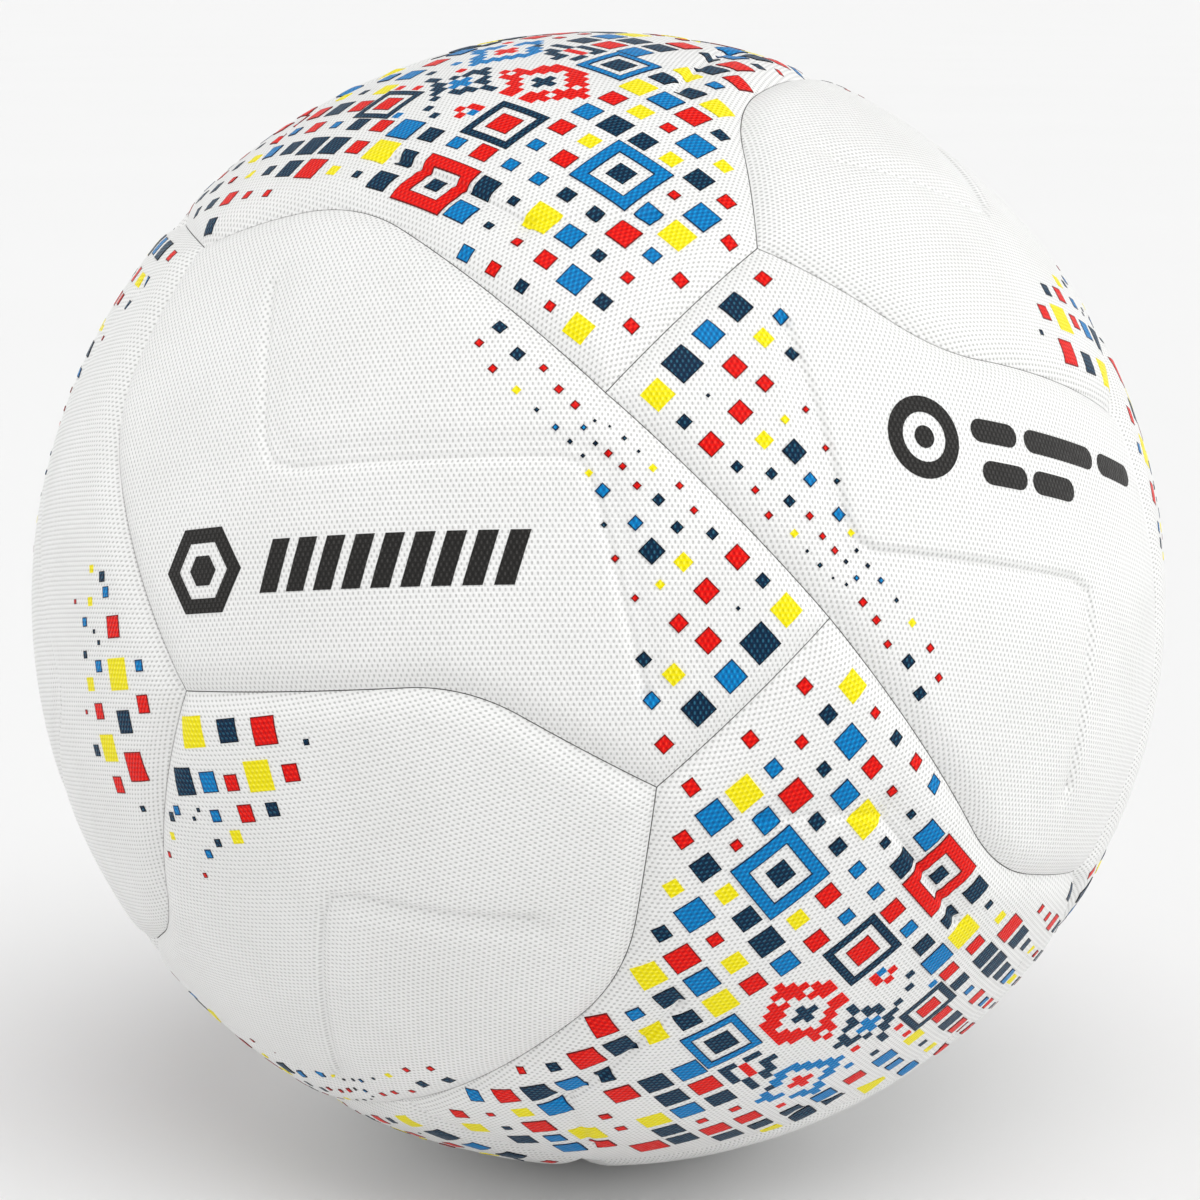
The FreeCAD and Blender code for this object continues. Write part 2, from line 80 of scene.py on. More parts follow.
FINE_TILE_STEP = 0.35  # where a tile crosses a crease
INK_LIFT = 0.08  # how far a tile stands proud of the skin
CREASED_LIFT = 0.17
INK_SINK = 0.12
BATCH = 1500  # points measured against a line at once
VALVE_COPY = 3  # the last half turn, which carries the first star panel to the valve


# ---- directions on the ball

def unit(vector):
    """The same direction with length one."""
    return np.asarray(vector, float) / np.linalg.norm(vector)


def direction(tilt, heading):
    """Unit vector at a tilt from +Z and a heading from +X, both in degrees."""
    tilt, heading = math.radians(tilt), math.radians(heading)
    level = math.sin(tilt)
    return np.array([level * math.cos(heading), level * math.sin(heading), math.cos(tilt)])


def turn(axis, degrees):
    """Matrix of a turn about an axis."""
    x, y, z = unit(axis)
    cross = np.array([[0, -z, y], [z, 0, -x], [-y, x, 0]])
    angle = math.radians(degrees)
    return np.eye(3) + math.sin(angle) * cross + (1 - math.cos(angle)) * cross @ cross


def knee(start, end, share, bulge):
    """Point beside the chord start-end: at a share along it, bulge degrees to its right."""
    side = unit(np.cross(start, end))
    along = share * math.acos(start @ end)
    on_chord = start * math.cos(along) + np.cross(side, start) * math.sin(along)
    return on_chord * math.cos(math.radians(bulge)) - side * math.sin(math.radians(bulge))


def spin(degrees):
    """Matrix that turns flat row points counter-clockwise."""
    angle = math.radians(degrees)
    return np.array([[math.cos(angle), math.sin(angle)], [-math.sin(angle), math.cos(angle)]])


def between(start, end, step=LINE_STEP):
    """Unit vectors at even spacing along the great circle from start to end."""
    angle = math.acos(min(1.0, start @ end))
    share = np.linspace(0, 1, max(2, round(angle * BALL / step) + 1))[:, None]
    return (start * np.sin((1 - share) * angle) + end * np.sin(share * angle)) / math.sin(angle)


def gap_to(points, line):
    """Distance in mm from each unit vector to a line of unit vectors."""
    start, run = line[:-1], np.diff(line, axis=0)
    square = (run ** 2).sum(1)
    result = []
    for few in np.array_split(points, len(points) // BATCH + 1):
        away = few[:, None] - start
        share = np.clip((away * run).sum(2) / square, 0, 1)
        off = away - share[..., None] * run
        result.append(np.sqrt((off ** 2).sum(2).min(1)))
    return np.concatenate(result) * BALL


HALF_TURNS = [np.eye(3)] + [turn(axis, 180) for axis in np.eye(3)[[2, 0, 1]]]
THIRDS = [turn((1, 1, 1), 120 * count) for count in range(3)]
ALL_TURNS = [half @ third for half in HALF_TURNS for third in THIRDS]
VALVE_AXIS = unit((1, -1, -1))
UP_VALVE = np.array([0.0, 1.0, 0.0])
VALVE_ROLL = -8.92
TO_VALVE = turn(np.cross(VALVE_AXIS, UP_VALVE), math.degrees(math.acos(VALVE_AXIS @ UP_VALVE)))
POSE = turn(UP_VALVE, VALVE_ROLL) @ TO_VALVE


# ---- panel outlines

TWIN = direction(14.01, 72.75)
TWIN_MATE = TWIN * (-1, -1, 1)
CAP = direction(25.65, 195.89)
FAR = unit((-1, 1, 1))
STAR_AXIS = unit((-1, -1, 1))
BACK_TURN = turn(FAR, 120)
TIP = BACK_TURN @ CAP
LONG_KNEE = knee(TWIN, TIP, 0.64, 7.3)
SHORT_KNEE = knee(CAP, FAR, 0.38, 7.2)
LONG_ROUND = 22.0
SHORT_ROUND = 17.0


def wing_outline():
    """Wing panel, counter-clockwise from outside: (corner, angular radius) pairs."""
    return [
        (TWIN, 0),
        (LONG_KNEE, LONG_ROUND),
        (TIP, 0),
        (BACK_TURN @ SHORT_KNEE, SHORT_ROUND),
        (FAR, 0),
        (SHORT_KNEE, SHORT_ROUND),
        (CAP, 0),
        (TWIN_MATE, 0),
    ]


def star_outline():
    """Star panel: three arms about STAR_AXIS, each a long knee and a straight end."""
    half = HALF_TURNS[1]
    arm = [(half @ TIP, 0), (half @ LONG_KNEE, LONG_ROUND), (TWIN_MATE, 0)]
    corners = []
    for count in range(3):
        about = turn(STAR_AXIS, 120 * count)
        corners += [(about @ corner, radius) for corner, radius in arm]
    first, second = corners[0][0], corners[1][0]
    return corners if np.cross(first, second) @ STAR_AXIS > 0 else corners[::-1]


def beside_both(corner, legs, angle):
    """The point near a corner at an angle from both of the legs that meet there. A positive
    angle leads inward."""
    before, after = legs
    opening = 1 + before @ after
    share = math.sin(angle) / opening
    along = unit(np.cross(before, after))
    along = along if along @ corner > 0 else -along
    return (before + after) * share + along * math.sqrt(1 - 2 * share * share * opening)


def knee_arc(corner, radius, legs):
    """Points of the round that touches both legs at a knee, and the inward direction at each."""
    sense = 1 if np.cross(*legs) @ corner > 0 else -1
    axis = beside_both(corner, legs, sense * math.radians(radius))
    feet = [unit(axis - leg * (axis @ leg)) for leg in legs]
    level = feet[0] @ axis
    arms = [unit(foot - axis * level) for foot in feet]
    reach = math.sqrt(1 - level * level)
    points = between(arms[0], arms[1], LINE_STEP / reach) * reach + axis * level
    toward = axis - points * (points @ axis)[:, None]
    return points, sense * toward / np.linalg.norm(toward, axis=1)[:, None]


def outline_sides(outline):
    """Each side between sharp corners: its points, the inward directions there, its first
    corner, and the two legs that meet at that corner."""
    count = len(outline)
    legs = [unit(np.cross(outline[i][0], outline[(i + 1) % count][0])) for i in range(count)]
    bends = {}
    for i, (corner, radius) in enumerate(outline):
        if radius:
            bends[i] = knee_arc(corner, radius, (legs[i - 1], legs[i]))
    sides = []
    for i, (corner, radius) in enumerate(outline):
        leave = bends[i][0][-1] if i in bends else corner
        ahead = (i + 1) % count
        arrive = bends[ahead][0][0] if ahead in bends else outline[ahead][0]
        if i in bends:
            sides[-1]["parts"].append(bends[i])
        else:
            sides.append({"parts": [], "corner": corner, "meet": (legs[i - 1], legs[i])})
        line = between(leave, arrive)
        sides[-1]["parts"].append((line, np.tile(legs[i], (len(line), 1))))
    for side in sides:
        for index, label in enumerate(("line", "inward")):
            runs = [part[index] for part in side["parts"]]
            side[label] = np.concatenate([run[:-1] for run in runs] + [runs[-1][-1:]])
    return sides


# ---- charts and panels

class Chart:
    """Flat millimetre coordinates about a centre, true in distance from it. The direction
    "toward" lies at a heading in degrees, counter-clockwise from the chart's x axis."""

    def __init__(self, centre, toward, heading):
        self.centre = unit(centre)
        level = unit(toward - self.centre * (toward @ self.centre))
        self.x = turn(self.centre, -heading) @ level
        self.y = np.cross(self.centre, self.x)

    def lift(self, flat):
        """Unit vectors of flat points."""
        flat = np.asarray(flat, float).reshape(-1, 2)
        reach = np.hypot(*flat.T)[:, None]
        level = flat[:, :1] * self.x + flat[:, 1:] * self.y
        return np.cos(reach / BALL) * self.centre + np.sinc(reach / BALL / math.pi) * level / BALL

    def flatten(self, points):
        """Flat points of unit vectors."""
        level = np.stack([points @ self.x, points @ self.y], 1)
        length = np.hypot(*level.T)[:, None]
        reach = np.arctan2(length, (points @ self.centre)[:, None]) * BALL
        return level * reach / np.maximum(length, 1e-9)


class Panel:
    """One kind of panel in the layout's axes: its sides, its chart and its raised surface."""

    def __init__(self, outline, chart, creases):
        self.sides = outline_sides(outline)
        self.chart = chart
        self.creases = creases
        self.pinched = [line for line, _, width in creases if width < SHARP_CREASE * 1.01]

    def gap(self, points):
        """Distance to the nearest side, mm."""
        return np.min([gap_to(points, side["line"]) for side in self.sides], 0)

    def crease_gap(self, points):
        """Distance to the nearest pressed crease, mm."""
        return np.min([gap_to(points, line) for line, _, _ in self.creases], 0)

    def fall(self, points):
        """How far the panel is pulled in towards its sides, mm."""
        fall = np.zeros(len(points))
        for side in self.sides:
            near = np.clip(1 - gap_to(points, side["line"]) / GROOVE_REACH, 0, 1)
            fall += (GROOVE_DEPTH * near ** GROOVE_SHAPE) ** CORNER_BLEND
        return np.minimum(fall ** (1 / CORNER_BLEND), GROOVE_LIMIT)

    def radius(self, points, hole=False):
        """Radius of the outer surface: pillowed at the sides, pressed in along the creases."""
        fall = self.fall(points)
        pressed = np.zeros(len(points))
        for line, depth, width in self.creases:
            pressed += depth * np.exp(-(gap_to(points, line) / width) ** 2)
        for line in self.pinched:
            for end in (line[0], line[-1]):
                away = np.linalg.norm(points - end, axis=1) * BALL
                pressed += PINCH_DEPTH * np.exp(-(away / PINCH_WIDTH) ** 2)
        if hole:
            away = np.hypot(*self.chart.flatten(points).T) - HOLE
            fall = fall + LIP_FALL * np.clip(1 - away / LIP_REACH, 0, 1) ** 2
        return BALL - fall - np.minimum(pressed, CREASE_FLOOR)


def creases_along(chart, corners, toward, depth):
    """A pressed line through chart points: a narrow crease, and a wide hollow on one side."""
    result = []
    for shift, share, width in ((0, 0.52, SHARP_CREASE), (1, 0.48, SOFT_CREASE)):
        ends = chart.lift(np.asarray(corners, float) + np.asarray(toward, float) * shift)
        runs = [between(a, b)[:-1] for a, b in zip(ends, ends[1:])]
        result.append((np.concatenate(runs + [ends[-1:]]), depth * share, width))
    return result


def wing_panel():
    """The first wing, with the bracket-shaped crease pressed into it."""
    chart = Chart(TWIN + TWIN_MATE + CAP + TIP + FAR, FAR, -155.15)
    bracket = [
        (-40.5, 48.5), (-38.2, 30), (-37, 18), (-35, 13), (-30, 11.5),
        (17, 11.6), (20.5, 10), (22.5, 6), (24, 0), (28, -17), (30.5, -28),
    ]
    return Panel(wing_outline(), chart, creases_along(chart, bracket, (1.6, 1.7), CREASE_DEPTH))


def star_panel():
    """The first star, with a crease across the root of each arm and a fainter one along it."""
    chart = Chart(STAR_AXIS, TWIN_MATE + CAP, -22)
    creases = []
    for count in range(3):
        about = spin(120 * count)
        hollow = np.array((0, -1.6)) @ about
        root = np.array([(0, -30.5), (34, -32.5)]) @ about
        creases += creases_along(chart, root, hollow, CREASE_DEPTH)
        faint = np.array([(34, -32.5), (43, -24), (50, -16)]) @ about
        creases += creases_along(chart, faint, hollow, CREASE_DEPTH * 0.5)
    return Panel(star_outline(), chart, creases)


WING = wing_panel()
STAR = star_panel()
CORNER_CHART = Chart(FAR, TIP, 112.2)
BAND_CHART = Chart(np.array([0, 0, 1.0]), TWIN_MATE - TWIN, 0)


# ---- closed sheets

def hex_grid(low, high, step):
    """Staggered flat points over a box."""
    rows = np.arange(low[1], high[1], step * math.sqrt(0.75))
    columns = np.arange(low[0], high[0], step)
    lines = []
    for i, y in enumerate(rows):
        lines.append(np.stack([columns + step / 2 * (i % 2), np.full(len(columns), y)], 1))
    return np.concatenate(lines)


def triangulate(loops, fill):
    """Triangles inside the first loop and outside the others, through all the points.
    Returns flat points, faces, and where each loop's points went."""
    flat = np.concatenate(loops + [fill])
    starts = np.cumsum([0] + [len(loop) for loop in loops])
    outlines = [list(range(a, b)) for a, b in zip(starts, starts[1:])]
    made = delaunay_2d_cdt([Vector(p) for p in flat.tolist()], [], outlines, 1, 1e-5)
    points = np.array([tuple(p) for p in made[0]])
    found = {}
    for index, sources in enumerate(made[3]):
        for source in sources:
            found[source] = index
    faces = []
    for face in made[2]:
        a, b, c = points[list(face)]
        middle = (a + b + c) / 3
        if any(inside(middle, loop) for loop in loops[1:]):
            continue
        area = (b[0] - a[0]) * (c[1] - a[1]) - (b[1] - a[1]) * (c[0] - a[0])
        faces.append(list(face) if area > 0 else list(face)[::-1])
    return points, faces, [[found[i] for i in outline] for outline in outlines]


def inside(point, loop):
    """True where a flat point lies inside a convex loop."""
    ahead = np.roll(loop, -1, axis=0) - loop
    away = point - loop
    cross = ahead[:, 0] * away[:, 1] - ahead[:, 1] * away[:, 0]
    return bool((cross > 0).all() or (cross < 0).all())


def closed_sheet(loops, top_fill, base_fill):
    """A top sheet, a base sheet under it and walls between them round every loop.
    Returns flat points, how many of them are the top's, and the faces."""
    top, faces, top_loops = triangulate(loops, top_fill)
    base, base_faces, base_loops = triangulate(loops, base_fill)
    shift = len(top)
    faces = faces + [[i + shift for i in face[::-1]] for face in base_faces]
    for number, (upper, lower) in enumerate(zip(top_loops, base_loops)):
        wall = zip(upper, upper[1:] + upper[:1], lower[1:] + lower[:1], lower)
        quads = [[b, a, d + shift, c + shift] for a, b, c, d in wall]
        outward = loop_area(loops[number]) * (1 if number == 0 else -1) > 0
        faces += quads if outward else [quad[::-1] for quad in quads]
    return np.concatenate([top, base]), shift, faces


def loop_area(loop):
    """Twice a flat loop's area, positive when counter-clockwise."""
    ahead = np.roll(loop, -1, axis=0)
    return float((loop[:, 0] * ahead[:, 1] - loop[:, 1] * ahead[:, 0]).sum())


def circle(radius, count, middle=(0, 0)):
    """Flat points round a circle, counter-clockwise."""
    angle = np.arange(count) / count * math.tau
    return np.stack([np.cos(angle), np.sin(angle)], 1) * radius + middle


# ---- pieces

def make_piece(name, points, faces, material, layers):
    """A smooth mesh object from millimetre points in the layout's axes, riding on the ball.
    Layers are named vectors at its points, which its material reads."""
    mesh = bpy.data.meshes.new(name)
    mesh.from_pydata((points @ POSE.T * MM).tolist(), [], faces)
    mesh.shade_smooth()
    mesh.set_sharp_from_angle(angle=math.radians(50))
    for label, values in layers.items():
        layer = mesh.attributes.new(label, "FLOAT_VECTOR", "POINT")
        layer.data.foreach_set("vector", np.asarray(values, np.float32).ravel())
    mesh.materials.append(material)
    piece = bpy.data.objects.new(name, mesh)
    bpy.context.scene.collection.objects.link(piece)
    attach(piece, "root")
    return piece


def with_depth(flat):
    """Flat points with a third coordinate of zero."""
    return np.column_stack([flat, np.zeros(len(flat))])


def rim_loop(panel, offset):
    """Edge of a layer as flat points, in order, at an offset from the seams."""
    corners = moved_corners(panel, offset)
    loop = []
    for side, corner, ahead in zip(panel.sides, corners, np.roll(corners, -1, axis=0)):
        points = moved_line(side, offset)
        clear = panel.gap(points) > offset - SLACK
        for end in (corner, ahead):
            clear &= np.linalg.norm(points - end, axis=1) * BALL > LINE_STEP / 2
        loop += [corner[None], points[clear]]
    return panel.chart.flatten(np.concatenate(loop))


def moved_line(side, offset):
    """A side's points, moved inward by an offset."""
    return side["line"] * math.cos(offset / BALL) + side["inward"] * math.sin(offset / BALL)


def moved_corners(panel, offset):
    """A panel's corners, moved inward to lie at the offset from both sides there."""
    return np.array([beside_both(side["corner"], side["meet"], offset / BALL) for side in panel.sides])


def ring_points(panel, offsets):
    """Rows of points beside the seams."""
    rows = []
    for offset in offsets:
        points = np.concatenate([moved_line(side, offset) for side in panel.sides])
        rows.append(points[panel.gap(points) > offset - SLACK])
        rows.append(moved_corners(panel, offset))
    return rows


def grid_points(panel, step, clear):
    """Staggered points over a panel, clear of its sides."""
    points = panel.chart.lift(hex_grid((-PANEL_REACH, -PANEL_REACH), (PANEL_REACH, PANEL_REACH), step))
    points = points[inside_panel(panel, points)]
    return points[panel.gap(points) > clear + step / 2]


def open_hole(flat, clear, steps):
    """The points outside the valve hole, and rings of points round it."""
    rings = [circle(HOLE + step, HOLE_POINTS) for step in steps]
    return np.concatenate([flat[np.hypot(*flat.T) > HOLE + clear]] + rings)


def face_fill(panel, hole):
    """Points of a skin's outer face, dense beside the seams and the creases."""
    rows = ring_points(panel, RINGS)
    for step, fine in ((GRID, False), (FINE_GRID, True)):
        points = grid_points(panel, step, RINGS[-1])
        rows.append(points[(panel.crease_gap(points) < CREASE_ZONE) == fine])
    flat = panel.chart.flatten(np.concatenate(rows))
    return open_hole(flat, 3.6, (0.3, 0.7, 1.2, 1.8, 2.6)) if hole else flat


def back_fill(panel, hole):
    """Points of a hidden face, sparser."""
    rows = ring_points(panel, BACK_RINGS) + [grid_points(panel, BACK_GRID, BACK_RINGS[-1])]
    flat = panel.chart.flatten(np.concatenate(rows))
    return open_hole(flat, 5.0, (2.5,)) if hole else flat


def inside_panel(panel, points):
    """True where a unit vector lies inside the panel's outline."""
    loop = panel.chart.flatten(np.concatenate([side["line"][:-1] for side in panel.sides]))
    flat = panel.chart.flatten(points)
    ahead = np.roll(loop, -1, axis=0)
    result = np.zeros(len(flat), bool)
    for (x1, y1), (x2, y2) in zip(loop, ahead):
        crosses = (y1 > flat[:, 1]) != (y2 > flat[:, 1])
        if y1 != y2:
            result ^= crosses & (flat[:, 0] < (x2 - x1) * (flat[:, 1] - y1) / (y2 - y1) + x1)
    return result


def build_layer(panel, hole, edge, top_fill, top_radius, base_radius):
    """Points, faces and chart coordinates of one layer of a panel in the layout's axes."""
    loops = [rim_loop(panel, edge)] + ([circle(HOLE, HOLE_POINTS)] if hole else [])
    flat, top_count, faces = closed_sheet(loops, top_fill, back_fill(panel, hole))
    points = panel.chart.lift(flat)
    is_top = (np.arange(len(points)) < top_count)[:, None]
    radius = np.where(is_top, top_radius(points)[:, None], base_radius(points)[:, None])
    return points * radius, faces, with_depth(flat)


def build_skin(panel, hole=False):
    """The textured skin: its back follows the pull of the seams, but not the creases."""
    return build_layer(
        panel, hole, EDGE_GAP, face_fill(panel, hole),
        lambda points: panel.radius(points, hole),
        lambda points: BALL - SKIN_THICKNESS - panel.fall(points),
    )


def build_foam(panel, hole=False):
    """The foam backing, squeezed thinner towards the seams."""
    return build_layer(
        panel, hole, FOAM_GAP, back_fill(panel, hole),
        lambda points: BALL - SKIN_THICKNESS - FOAM_CLEAR - panel.fall(points),
        lambda points: np.full(len(points), FOAM_BACK),
    )


def build_bond():
    """Points and faces of the adhesive: a narrow tongue up every seam from a wider foot."""
    narrow, wide = EDGE_GAP - 0.005, FOAM_GAP - 0.02
    foot = BALL - GROOVE_LIMIT - SKIN_THICKNESS - 0.1
    head = BALL - GROOVE_LIMIT - BOND_RECESS
    section = [
        (wide, FOAM_BACK), (wide, foot), (narrow, foot), (narrow, head),
        (-narrow, head), (-narrow, foot), (-wide, foot), (-wide, FOAM_BACK),
    ]
    far_side, twin_side = WING.sides[2], WING.sides[4]
    seams = [(side, half) for side in STAR.sides for half in HALF_TURNS]
    seams += [(far_side, about) for about in ALL_TURNS]
    seams += [(twin_side, about) for about in ALL_TURNS[:3] + ALL_TURNS[6:9]]
    points, faces, count = [], [], 0
    for side, about in seams:
        rows = [moved_line(side, offset) * radius for offset, radius in section]
        grid = np.stack(rows, 1).reshape(-1, 3)
        points.append(grid @ about.T)
        size = len(section)
        steps = len(grid) // size - 1
        for step in range(steps):
            for i in range(size):
                a, b = step * size + i, step * size + (i + 1) % size
                faces.append([count + a, count + b, count + b + size, count + a + size])
        faces.append([count + i for i in range(size)][::-1])
        faces.append([count + steps * size + i for i in range(size)])
        count += len(grid)
    return np.concatenate(points), faces


# ---- materials

def wire(tree, node, inputs):
    """Set or link a node's inputs."""
    for key, value in inputs.items():
        if isinstance(value, bpy.types.NodeSocket):
            tree.links.new(value, node.inputs[key])
        else:
            node.inputs[key].default_value = value


def add(tree, kind, inputs=(), **settings):
    """A shader node with its settings, and its inputs set or linked."""
    made = tree.nodes.new("ShaderNode" + kind)
    for key, value in settings.items():
        setattr(made, key, value)
    wire(tree, made, dict(inputs))
    return made


def calc(tree, operation, *values):
    """Output of a maths node."""
    return add(tree, "Math", dict(enumerate(values)), operation=operation).outputs[0]


def blend(tree, share, first, second, mode="MIX"):
    """Output of a colour mix."""
    inputs = {0: share, 6: first, 7: second}
    return add(tree, "Mix", inputs, data_type="RGBA", blend_type=mode).outputs[2]


def bump(tree, height, strength, distance, **under):
    """Output of a bump node, over another one's if that is given as Normal."""
    inputs = {"Height": height, "Strength": strength, "Distance": distance}
    return add(tree, "Bump", inputs | under).outputs[0]


def noise(tree, where, scale, detail=3.0):
    """Noise from 0 to 1 at a scale, at given coordinates."""
    return add(tree, "TexNoise", {"Vector": where, "Scale": scale, "Detail": detail}).outputs[0]


def spread(tree, value, low, high, to_low=0.0, to_high=1.0):
    """A value carried smoothly from one range to another."""
    inputs = {"Value": value, "From Min": low, "From Max": high, "To Min": to_low, "To Max": to_high}
    return add(tree, "MapRange", inputs, interpolation_type="SMOOTHSTEP").outputs[0]


def patches(tree, where, scale, low=0.0, high=1.0):
    """Soft patches of noise between two values."""
    return spread(tree, noise(tree, where, scale), 0.3, 0.7, low, high)


def finish_with(name, **constants):
    """A new material, its node tree and its shader, with constant sockets set."""
    material = bpy.data.materials.new(name)
    material.use_nodes = True
    shader = material.node_tree.nodes["Principled BSDF"]
    for key, value in constants.items():
        shader.inputs[key.replace("_", " ")].default_value = value
    return material, material.node_tree, shader


DIMPLE_ALONG = 0.97  # mm between dimples in a row
DIMPLE_ROWS = 0.86  # mm between rows
DIMPLE_DEPTH = 0.00015


def mesh_vector(tree, label):
    """One of the mesh's named vectors, and its three numbers."""
    vector = add(tree, "Attribute", attribute_name=label).outputs["Vector"]
    return vector, add(tree, "SeparateXYZ", {0: vector}).outputs


def grain(tree):
    """The pressed texture in staggered rows: 1 in each dimple, and 1 on each bead between."""
    where, split = mesh_vector(tree, "chart")
    along = calc(tree, "COSINE", calc(tree, "MULTIPLY", split[0], math.tau / DIMPLE_ALONG))
    across = calc(tree, "COSINE", calc(tree, "MULTIPLY", split[1], math.pi / DIMPLE_ROWS))
    wave = calc(tree, "MULTIPLY", along, across)
    return spread(tree, wave, 0.15, 0.9), spread(tree, wave, -0.2, -0.8), where


def press(tree, dimple, bead, where):
    """Bump of the dimples and beads over a fine leather-like unevenness."""
    fine = bump(tree, noise(tree, where, 2.5, 2.0), 0.25, 0.00004)
    height = calc(tree, "SUBTRACT", calc(tree, "MULTIPLY", bead, 0.45), dimple)
    return bump(tree, height, 1.0, DIMPLE_DEPTH, Normal=fine)


def skin_material():
    """White satin polyurethane with pressed dimples, and painted shade that makes each dimple a little
    greyer.
    """
    material, tree, shader = finish_with("skin_white", Specular_IOR_Level=0.42)
    dimple, bead, where = grain(tree)
    patchy = patches(tree, where, 0.045)
    white = blend(tree, patchy, (0.85, 0.85, 0.84, 1), (0.88, 0.88, 0.872, 1))
    # painted shade: the white is multiplied towards grey inside each dimple
    grey = blend(tree, 1.0, white, (0.67, 0.67, 0.665, 1), "MULTIPLY")
    wire(tree, shader, {
        "Base Color": blend(tree, dimple, white, grey),
        "Roughness": patches(tree, where, 0.6, 0.4, 0.52),
        "Normal": press(tree, dimple, bead, where),
    })
    return material


def ink_material(name, colour, edge_and_dimple_shade, light):
    """Printed ink over the same dimples, with a thin darker line round each tile, painted shade that
    darkens each dimple and a painted highlight on the beads between.
    """
    material, tree, shader = finish_with(name, Specular_IOR_Level=0.12)
    colour, edge_and_dimple_shade, light = colour + (1,), edge_and_dimple_shade + (1,), light + (1,)
    dimple, bead, where = grain(tree)
    tile, band = mesh_vector(tree, "tile")[1], mesh_vector(tree, "band")[1]
    out = calc(tree, "MAXIMUM", calc(tree, "ABSOLUTE", tile[0]), calc(tree, "ABSOLUTE", tile[1]))
    to_inner = calc(tree, "SUBTRACT", out, band[0])
    to_outer = calc(tree, "SUBTRACT", band[1], out)
    edge = spread(tree, calc(tree, "MINIMUM", to_inner, to_outer), 0.10, 0.28, 1.0, 0.0)
    # painted highlight: the beads are lightened towards the ink's light colour, more in some random
    # patches than in others
    bead_highlight_patches = patches(tree, where, 0.5, 0.55, 1.0)
    body = blend(tree, calc(tree, "MULTIPLY", bead, bead_highlight_patches), colour, light)
    # painted shade: each dimple is darkened towards the edge line's colour
    body = blend(tree, calc(tree, "MULTIPLY", dimple, 0.3), body, edge_and_dimple_shade)
    wire(tree, shader, {
        "Base Color": blend(tree, edge, body, edge_and_dimple_shade),
        "Roughness": patches(tree, where, 0.8, 0.32, 0.46),
        "Normal": press(tree, dimple, bead, where),
    })
    return material


# Mottled materials: darker and lighter colour, scale, roughness from and to, depth of the bump.
MOTTLED = {
    "foam": ((0.72, 0.71, 0.66, 1), (0.82, 0.81, 0.77, 1), 900, 0.75, 0.9, 0.0002),
    "bond": ((0.060, 0.060, 0.060, 1), (0.16, 0.16, 0.155, 1), 260, 0.55, 0.75, 0.0001),
    "butyl": ((0.035, 0.035, 0.037, 1), (0.06, 0.06, 0.062, 1), 250, 0.5, 0.65, 0.0001),
    "valve_pale": ((0.62, 0.62, 0.61, 1), (0.70, 0.70, 0.69, 1), 500, 0.4, 0.55, 0.00003),
    "valve_dark": ((0.03, 0.03, 0.032, 1), (0.05, 0.05, 0.052, 1), 600, 0.35, 0.5, 0.00003),
}


def mottled_material(name):
    """A mottled material for the layers under the skins: foam, rubber or adhesive."""
    dark, light, scale, smoothest, roughest, depth = MOTTLED[name]
    material, tree, shader = finish_with(name, Specular_IOR_Level=0.35)
    mottle = noise(tree, add(tree, "TexCoord").outputs["Object"], scale, 5.0)
    wire(tree, shader, {
        "Base Color": blend(tree, spread(tree, mottle, 0.3, 0.7), dark, light),
        "Roughness": spread(tree, mottle, 0.3, 0.7, smoothest, roughest),
        "Normal": bump(tree, mottle, 0.6, depth),
    })
    return material


LINING_THREADS = 5200  # radians of weave in a metre


def woven_material():
    """Plain weave for the lining: two sets of threads crossing."""
    material, tree, shader = finish_with("lining_weave", Specular_IOR_Level=0.3, Roughness=0.8)
    split = add(tree, "SeparateXYZ", {0: add(tree, "TexCoord").outputs["Object"]}).outputs
    waves = [calc(tree, "SINE", calc(tree, "MULTIPLY", split[i], LINING_THREADS)) for i in range(3)]
    weave = calc(tree, "MULTIPLY", calc(tree, "ADD", waves[0], waves[1]), waves[2])
    height = spread(tree, weave, -1.2, 1.2)
    wire(tree, shader, {
        "Base Color": blend(tree, height, (0.60, 0.59, 0.55, 1), (0.76, 0.75, 0.71, 1)),
        "Normal": bump(tree, height, 0.7, 0.0002),
    })
    return material


# ---- print

# Each ink: its name, then the colours of its body, of a tile's edge line, which also paints shade into
# the dimples, and of the painted highlight on its beads.
INKS = {
    "R": ("red", (0.76, 0.002, 0.001), (0.16, 0.001, 0.002), (0.95, 0.030, 0.014)),
    "Y": ("yellow", (0.90, 0.78, 0.001), (0.60, 0.50, 0.005), (1.00, 0.93, 0.080)),
    "B": ("blue", (0.000, 0.180, 0.49), (0.001, 0.016, 0.055), (0.004, 0.330, 0.72)),
    "N": ("navy", (0.000, 0.020, 0.056), (0.000, 0.005, 0.013), (0.022, 0.125, 0.205)),
    "G": ("grey", (0.020, 0.019, 0.018), (0.008, 0.008, 0.008), (0.052, 0.050, 0.048)),
}
SHEET_LISTS = ("points", "faces", "chart", "tile", "band")
INKED = {key: {"count": 0} | {label: [] for label in SHEET_LISTS} for key in INKS}
SOLID = -9.0  # inner edge of a tile without a hole, for its edge line
NO_EDGE = 99.0  # outer edge of a shape without an edge line


def store(ink, points, faces, chart, tile, band, copies):
    """Add a printed shape to its ink, once for each turn of the layout, with its flat places
    on the panel and on the tile, and where the tile's body begins and ends."""
    sheet = INKED[ink]
    band = np.tile(band + (0,), (len(points), 1))
    layers = {"chart": with_depth(chart), "tile": with_depth(tile), "band": band}
    for copy in copies:
        sheet["points"].append(points @ copy.T)
        sheet["faces"] += [[i + sheet["count"] for i in face] for face in faces]
        sheet["count"] += len(points)
        for label, values in layers.items():
            sheet[label].append(values)


